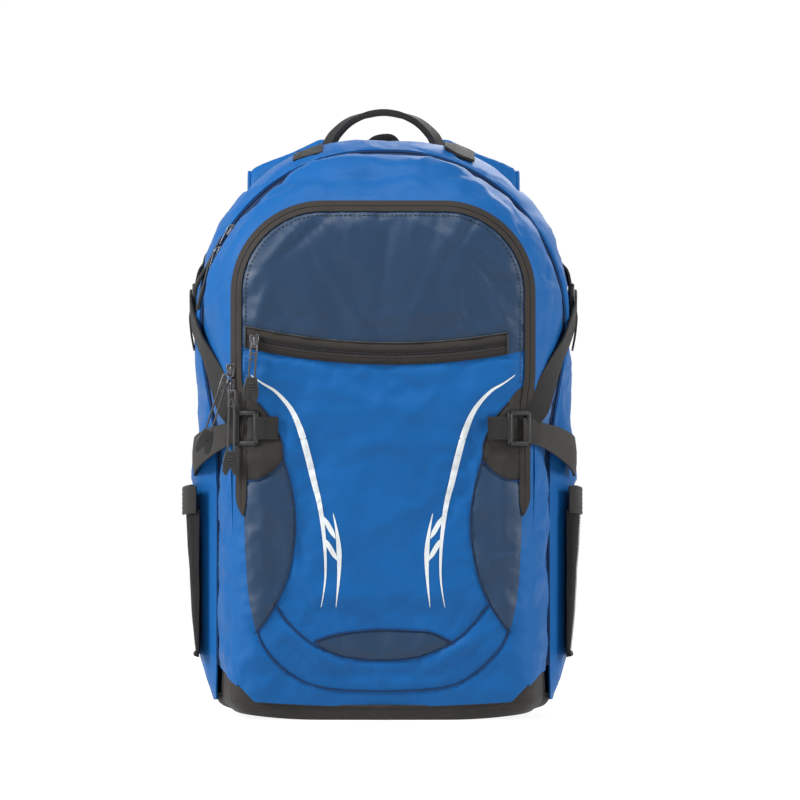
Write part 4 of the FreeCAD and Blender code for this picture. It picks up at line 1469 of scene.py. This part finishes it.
def make_shoulder_straps():
    for side, name in SIDES:
        body = "strap_" + name
        centre = side * 85.0
        rows = strap_rows(centre, STRAP_PROFILE, 72.0, 10.0)
        bm = close_ends(grid(rows, closed=True), len(rows[0]))
        bm = inflate(bm, pressure=3.0, cap=1.4, voxel=4.0)
        obj = piece("strap_pad_" + name, bm, "blue_nylon")
        ride(obj, body, "shoulder_strap_" + name)
        # black mesh on the side that lies on the shoulder
        inner = []
        for row in rows:
            middle = sum(row, Vector()) / len(row)
            inner.append([row[k] + (row[k] - middle).normalized() * 2.4 for k in range(1, 14)])
        add("strap_underside_" + name, grid(inner, thick=0.6), "back_mesh", body)
        for edge, index in (("a", 0), ("b", 14)):
            run = [row[index] for row in rows]
            add("strap_binding_%s_%s" % (name, edge), tube(run, 1.7, outward=(1, 0, 0)),
                "blue_nylon", body)
        # webbing sewn down the middle of the strap
        outer = [row[21] for row in rows[8:]]
        outs = [(row[21] - row[7]).normalized() for row in rows[8:]]
        add("strap_webbing_" + name, strip([p + o * 3.2 for p, o in zip(outer, outs)], outs, 22.0,
                                           1.6), "webbing", body)
        low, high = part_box("shoulder_ladder_lock_" + name)
        lock = ladder_lock(34, 30, 5)
        lock.transform(Matrix.Translation(Vector((centre, (low.y + high.y) / 2 / MM,
                                                  (low.z + high.z) / 2 / MM))))
        add("shoulder_lock_" + name, lock, "buckle_plastic", body, "shoulder_ladder_lock_" + name)
        run = rounded([Vector((centre, y, z)) for y, z in
                       ((117.5, 178), (113, 120), (109.5, 70), (107, 42), (105, 25), (97, 16),
                        (95.6, 8))], 5.0)
        add("lower_webbing_" + name, strip(run, [Vector((0, 1, 0))] * len(run), 25, 1.8),
            "webbing", "pack", *(("shoulder_webbing",) if side < 0 else ()))
        link = rounded([Vector((centre, y, z)) for y, z in
                        ((126, 222), (124, 214), (122.6, 205), (122.4, 199))], 3.0)
        add("lock_loop_" + name, strip(link, [Vector((0, 1, 0))] * len(link), 24, 1.8), "webbing",
            body)


def rounded_bar_frame(wide, tall, bar, thick, cross=()):
    """A moulded frame in the X-Z plane: a rounded rectangle ring with optional cross bars."""
    bm = bmesh.new()
    parts = [((-wide / 2 + bar / 2, -tall / 2), (-wide / 2 + bar / 2, tall / 2)),
             ((wide / 2 - bar / 2, -tall / 2), (wide / 2 - bar / 2, tall / 2))]
    for z in (-tall / 2 + bar / 2, tall / 2 - bar / 2) + tuple(cross):
        parts.append(((-wide / 2, z), (wide / 2, z)))
    for (x0, z0), (x1, z1) in parts:
        wider = bar / 2 if x0 == x1 else 0
        taller = bar / 2 if z0 == z1 else 0
        low = (min(x0, x1) - wider, min(z0, z1) - taller)
        high = (max(x0, x1) + wider, max(z0, z1) + taller)
        box = bmesh.new()
        bmesh.ops.create_cube(box, size=1.0)
        for v in box.verts:
            v.co = Vector(((low[0] + high[0]) / 2 + v.co.x * (high[0] - low[0]),
                           v.co.y * thick, (low[1] + high[1]) / 2 + v.co.z * (high[1] - low[1])))
        bmesh.ops.bevel(box, geom=list(box.edges), offset=min(bar, thick) * 0.42, segments=3,
                        affect="EDGES", profile=0.6)
        join(bm, box)
    return bm


def ladder_lock(wide, tall, thick):
    return rounded_bar_frame(wide, tall, 4.2, thick, cross=(-1.0,))


# ---------------------------------------------------------------- compression straps
def on_side(side, y, z, lift):
    """A point on the bag's side skin, lifted outwards."""
    hit = CROWN.ray_cast(Vector((side * 300, y, z)), Vector((-side, 0, 0)))[0]
    return hit + Vector((side * lift, 0, 0))


# the wing's edges from the ring to the side: x, y, upper z, lower z
WING = [(121, -107.5, 263, 243), (129, -102.4, 262, 241), (135, -97, 260, 239.5),
        (140, -86, 258, 237), (151, -60, 255, 230), (162, -30, 250, 221),
        (166.6, -12, 246.5, 214.5), (167.5, 2, 243.5, 210.5)]


def make_compression():
    for side, name in SIDES:
        # upper arm: from the ring round the corner to the ladder-lock on the side
        arm = route(side, ((121, -107.5, 260), (127.5, -103.4, 266), (134.0, -98.6, 273),
                           (139.5, -87, 284), (150, -60, 307), (161.5, -32, 331),
                           (168.5, -5, 350), (171, 13, 361), (171, 28, 366)), 4.0)
        outs = [Vector((side * (0.35 + 0.65 * clamp((p.y + 100) / 60)),
                        -1 + clamp((p.y + 100) / 60), 0)) for p in arm]
        obj = piece("side_arm_" + name, strip(arm, outs, 24.0, 2.0), "webbing")
        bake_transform(obj)
        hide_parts("compression_arm_" + name)
        # lower wing: a folded piece of patch cloth, wide at the side
        top, low = (rounded([Vector((side * p[0], p[1], p[k])) for p in WING], 4.0)
                    for k in (2, 3))
        count = min(len(top), len(low))
        rows = []
        for t in (0.0, 0.12, 0.35, 0.65, 0.88, 1.0):
            puff = 1.6 * math.sin(math.pi * t)
            row = []
            for a, b in zip(top[:count], low[:count]):
                p = a.lerp(b, t)
                share = clamp((p.y + 100) / 60)
                way = Vector((side * (0.35 + 0.65 * share), -1 + share, 0)).normalized()
                row.append(p + way * (puff + 0.4))
            rows.append(row)
        obj = piece("side_wing_" + name, grid(rows, thick=2.2), "patch_fabric")
        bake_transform(obj)
        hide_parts("compression_wing_" + name)
        # the ring and its stitched tab
        ring = rounded_bar_frame(22, 31, 4.6, 4.4)
        ring.transform(Matrix.Translation(Vector((side * 118.5, -109.5, 254.5)))
                       @ Matrix.Rotation(math.radians(side * 22), 4, "Z"))
        add("strap_ring_" + name, ring, "buckle_plastic", "front_lid",
            *(("compression_rings",) if side < 0 else ()))
        tab = route(side, ((91, -113.2, 254.5), (96, -113.3, 254.5), (102, -113.9, 254.5),
                           (108, -114.2, 254.5), (114, -111.5, 254.5)), 3.0)
        add("ring_tab_" + name, strip(tab, [Vector((side * 0.25, -1, 0))] * len(tab), 20, 2.2),
            "webbing", "front_lid", *(("ring_tabs",) if side < 0 else ()))
        for x in (93, 103):
            line = [Vector((side * x, -114.6 - (x - 93) * 0.06, z)) for z in (246, 263)]
            add("ring_tab_stitches_%s_%d" % (name, x), stitches(line, FORWARD, 2.4, 0.9),
                "thread_dark", "front_lid")
        # ladder-lock on the side, with its anchor webbing and the loose tail
        lock = ladder_lock(31, 33, 5.0)
        lock.transform(Matrix.Translation(Vector((side * 167.0, 24, 366)))
                       @ Matrix.Rotation(math.radians(90), 4, "Z"))
        add("side_lock_" + name, lock, "buckle_plastic", "pack",
            *(("compression_ladder_locks",) if side < 0 else ()))
        anchor = [Vector((side * 167.0, 24, 378)), Vector((side * 166.0, 29, 386))]
        anchor += [on_side(side, y, z, 2.4) for y, z in ((40, 392), (52, 396), (64, 399),
                                                         (78, 401))]
        anchor = rounded(anchor, 4.0)
        add("lock_anchor_" + name, strip(anchor, [Vector((side, 0, 0.25))] * len(anchor), 22,
                                         2.0), "webbing", "pack")
        tail = route(side, ((168.5, 22, 366), (171.5, 20, 352), (170.5, 16, 338),
                            (168.0, 14, 324)), 4.0)
        add("strap_tail_" + name, strip(tail, [Vector((side, 0, 0))] * len(tail), 21, 1.9),
            "webbing", "pack")


# ---------------------------------------------------------------- handle, loop, pockets
def make_handle():
    low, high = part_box("top_handle")
    y = (low.y + high.y) / 2 / MM
    line = rounded([Vector((x, y, z)) for x, z in
                    ((-58, 498.5), (-50, 505), (-43, 517), (-27, 530), (0, 536.5), (27, 530),
                     (43, 517), (50, 505), (58, 498.5))], 3.0)
    outs = []
    for p in line:
        side = clamp((abs(p.x) - 14) / 34)
        up = Vector((p.x * 0.7, 0, 40)).normalized()
        outs.append((up + Vector((0, -0.38 * side, 0))).normalized())
    handle = piece("handle_webbing", strip(line, outs, 20.0, 5.6), "webbing")
    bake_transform(handle)
    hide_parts("top_handle")
    for side, name in SIDES:
        rows = []
        for k in range(10):
            depth = y + 8 - 9.6 * k
            row = []
            for x in (54, 57, 61, 66, 71, 76, 80):
                hit = CROWN.ray_cast(Vector((side * x, depth, 560)), Vector((0, 0, -1)))[0]
                row.append(hit + Vector((0, 0, 2.8)))
            rows.append(row)
        add("handle_foot_" + name, grid(rows, thick=2.6), "webbing", "pack")
        for x in (57, 76):
            line = [row[1 if x == 57 else 5] + Vector((0, 0, 1.4)) for row in rows]
            add("handle_stitches_%s_%d" % (name, x), stitches(line, Vector((0, 0, 1))),
                "thread_dark", "pack")
    loop_low, loop_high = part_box("hang_loop")
    middle = (loop_low.y + loop_high.y) / 2 / MM
    line = rounded([Vector((x, middle, z)) for x, z in
                    ((-15.0, 484), (-15.5, 500), (-12.5, 509), (-6, 514), (6, 515), (12, 509.5),
                     (15.5, 500), (15.0, 484))], 2.0)
    outs = [Vector((p.x, 0, p.z - 500)).normalized() for p in line]
    add("hang_loop_webbing", strip(line, outs, 10.0, 6.6), "webbing", "pack", "hang_loop")


def make_side_pockets():
    """Stretch net pockets: strands over a dark backing, under a ribbed elastic binding."""
    for side, name in SIDES:
        plan = rounded([Vector(p) for p in
                        ((163.0, -21), (168, -17), (172.0, -6), (175.3, 18), (175, 44),
                         (170, 66), (162, 80))], 2.6)

        def wall(z, stand):
            t = clamp((z - 54) / (182 - 54))
            slack = 0.22 + 0.78 * t ** 0.7
            row = []
            for p in plan:
                x = 163.5 + (p[0] - 163.5) * slack + stand
                x += 0.9 * ruffle(Vector((0, p[1], z)), 24, 4.0) * math.sin(math.pi * t)
                row.append(Vector((side * x, p[1], z)))
            return row
        backing = [wall(z, -0.9) for z in range(52, 186, 5)]
        add("net_backing_" + name, grid(backing, thick=0.8), "mesh_backing", "pack")
        rows = [wall(53 + 2.7 * k, 0.2) for k in range(49)]
        net = bmesh.new()
        verts = [[net.verts.new(p) for p in row] for row in rows]
        for i in range(len(rows) - 1):
            for j in range(len(plan) - 1):
                a, b, c, d = verts[i][j], verts[i][j + 1], verts[i + 1][j + 1], verts[i + 1][j]
                if (i + j) % 2:
                    net.faces.new((a, b, d))
                    net.faces.new((b, c, d))
                else:
                    net.faces.new((a, b, c))
                    net.faces.new((a, c, d))
        bmesh.ops.wireframe(net, faces=list(net.faces), thickness=0.8, use_replace=True,
                            use_boundary=True, use_even_offset=False)
        add("net_" + name, net, "pocket_mesh", "pack", "mesh_pocket_" + name)
        band = []
        for k in range(13):
            z = 180 + 2.0 * k
            rib = 0.45 if k % 2 else 0.0
            band.append([Vector((side * (p[0] + 1.3 + rib), p[1],
                                 z - 3.0 * math.exp(-((p[1] - 25) / 40) ** 2))) for p in plan])
        add("pocket_binding_" + name, grid(band, thick=1.8), "elastic", "pack",
            *(("pocket_bindings",) if side < 0 else ()))
        hem = [p + Vector((side * 0.8, 0, 0)) for p in wall(54, 0.4)]
        add("pocket_hem_" + name, tube(hem, 1.6, outward=(side, 0, 0)), "webbing", "pack")
    tab = [Vector((x, -2, z)) for x, z in ((146, 30.5), (150.5, 30.0), (155, 29.5))]
    add("low_tab", strip(tab, [FORWARD] * 3, 6, 1.6), "webbing", "pack")


# ---------------------------------------------------------------- sliders and pulls
PULLS = {
    # lean in degrees, length of the cord's legs, turned to face sideways, cord's whole length
    "main_upper": (27.0, 30.0, True, 66.0),
    "main_lower": (14.0, 22.0, True, 50.2),
    "pocket": (4.0, 20.0, False, 46.2),
    "arch_upper": (18.0, 42.0, False, 89.7),
    "arch_lower": (1.0, 44.0, False, 93.7),
}
LINK_LONG, LINK_WIDE = 15.0, 7.0


def pull_frame(name):
    lean, leg, turned, _ = PULLS[name]
    hang = Vector(JOINTS[name + "_pull_swing"]["pos_m"]) / MM
    place = Matrix.Translation(hang) @ Matrix.Rotation(math.radians(lean), 4, "Y")
    if turned:
        place = place @ Matrix.Rotation(math.radians(-90), 4, "Z")
    return place, leg


def make_cord(name):
    """The cord loop of a pull: up one leg, through the link and down the other."""
    place, leg = pull_frame(name)
    half, y, top = 2.2, -1.8, -LINK_LONG + 4.5
    route = [(-half - 0.3, y, top - leg), (-half - 0.5, y, top - leg * 0.45),
             (-half + 0.2, y, top + half), (half - 0.2, y, top + half),
             (half + 0.5, y, top - leg * 0.5), (half + 0.3, y, top - leg)]
    data = bpy.data.curves.new(name + "_loop", "CURVE")
    data.dimensions = "3D"
    data.bevel_depth = 0.9 * MM
    data.bevel_resolution = 3
    data.use_fill_caps = True
    spline = data.splines.new("NURBS")
    spline.points.add(len(route) - 1)
    points = [place @ Vector(p) * MM for p in route]
    for target, p in zip(spline.points, points):
        target.co = (p.x, p.y, p.z, 1)
    spline.order_u = 3
    spline.use_endpoint_u = True
    data.materials.append(MATERIALS["pull_cord"])
    obj = bpy.data.objects.new(name + "_loop", data)
    bpy.context.scene.collection.objects.link(obj)
    ride(obj, name + "_pull", name + "_cord")
    tuple(points[0])


def plate(points, y, deep, bevel):
    """A moulded plate: an X-Z outline drawn out along Y, with its edges rounded."""
    bm = bmesh.new()
    bm.faces.new([bm.verts.new((x, y, z)) for x, z in points])
    made = bmesh.ops.extrude_face_region(bm, geom=list(bm.faces))
    for v in [g for g in made["geom"] if isinstance(g, bmesh.types.BMVert)]:
        v.co.y += deep
    bmesh.ops.bevel(bm, geom=list(bm.edges), offset=bevel, segments=2, affect="EDGES",
                    profile=0.6)
    return bm


def make_pulls():
    for name in PULLS:
        place, leg = pull_frame(name)
        body = name + "_pull"
        link = rounded_bar_frame(LINK_WIDE, LINK_LONG, 1.5, 1.5)
        link.transform(place @ Matrix.Translation(Vector((0, 0, -LINK_LONG / 2))))
        add(name + "_metal_link", link, "zip_metal", body, name + "_link")
        # moulded grip: a chevron with raised ribs
        top = -LINK_LONG + 4.5 - leg
        outline_points = [(-4.6, 1.2), (4.6, 1.2), (7.0, -9), (7.0, -16.5), (4.6, -20.6),
                          (2.6, -19), (0, -13.5), (-2.6, -19), (-4.6, -20.6), (-7.0, -16.5),
                          (-7.0, -9)]
        grip = plate(outline_points, -3.5, 3.4, 0.8)
        for k in range(3):
            z = -4.5 - 2.6 * k
            bead(grip, Vector((0, -3.6, z)), Vector((1, 0, 0)), FORWARD, 7.0, 1.1,
                 0.9)
        grip.transform(place @ Matrix.Translation(Vector((0, 0, top))))
        add(name + "_moulded_grip", grip, "grip_rubber", body, name + "_grip")
        make_cord(name)
        make_slider(name)


def make_slider(name):
    low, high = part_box(name + "_slider")
    centre = (low + high) / 2 / MM
    turned = PULLS[name][2]
    # a body that narrows to the tail, with a bridge over it
    outline_points = [(-3.9, 5.6), (-2.0, 6.2), (0, 4.9), (2.0, 6.2), (3.9, 5.6), (4.1, 1.5),
                      (2.9, -5.2), (0, -6.2), (-2.9, -5.2), (-4.1, 1.5)]
    bm = plate(outline_points, -1.7, 3.3, 0.5)
    bridge = tube(rounded([Vector((0, -1.6, 4.2)), Vector((0, -3.4, 3.2)), Vector((0, -3.9, 0)),
                           Vector((0, -3.2, -3.2)), Vector((0, -1.6, -4.0))], 0.8), 0.9,
                  sides=6, outward=(1, 0, 0))
    join(bm, bridge)
    turn = Matrix.Identity(4)
    if turned:
        angle = math.atan2(centre.z - CROWN_Z, centre.x + 7)
        turn = Matrix.Rotation(math.pi / 2 - angle + math.pi / 2, 4, "Y") \
            @ Matrix.Rotation(-math.pi / 2, 4, "Z")
    bm.transform(Matrix.Translation(centre) @ turn)
    add(name + "_slider_body", bm, "zip_metal", name + "_zip_slider", name + "_slider")


# ---------------------------------------------------------------- inside
def dress_inner_nodes():
    """Looks for the CAD pieces that stay in view."""
    plain = {"frame_sheet": "stiffener_plastic", "inner_sleeve": "lining",
             "divider_upper": "lining", "divider_lower": "lining"}
    for name, material in plain.items():
        obj = frame["nodes"][name]
        obj.data.materials.clear()
        obj.data.materials.append(MATERIALS[material])


make_camera()
make_stage()
make_pulls()
FIELD = make_field()
CROWN = make_shell()
make_front_band()
make_front_panels()
make_arch_zip()
make_main_zip()
make_base()
make_back()
make_shoulder_straps()
make_compression()
make_handle()
make_side_pockets()
dress_inner_nodes()
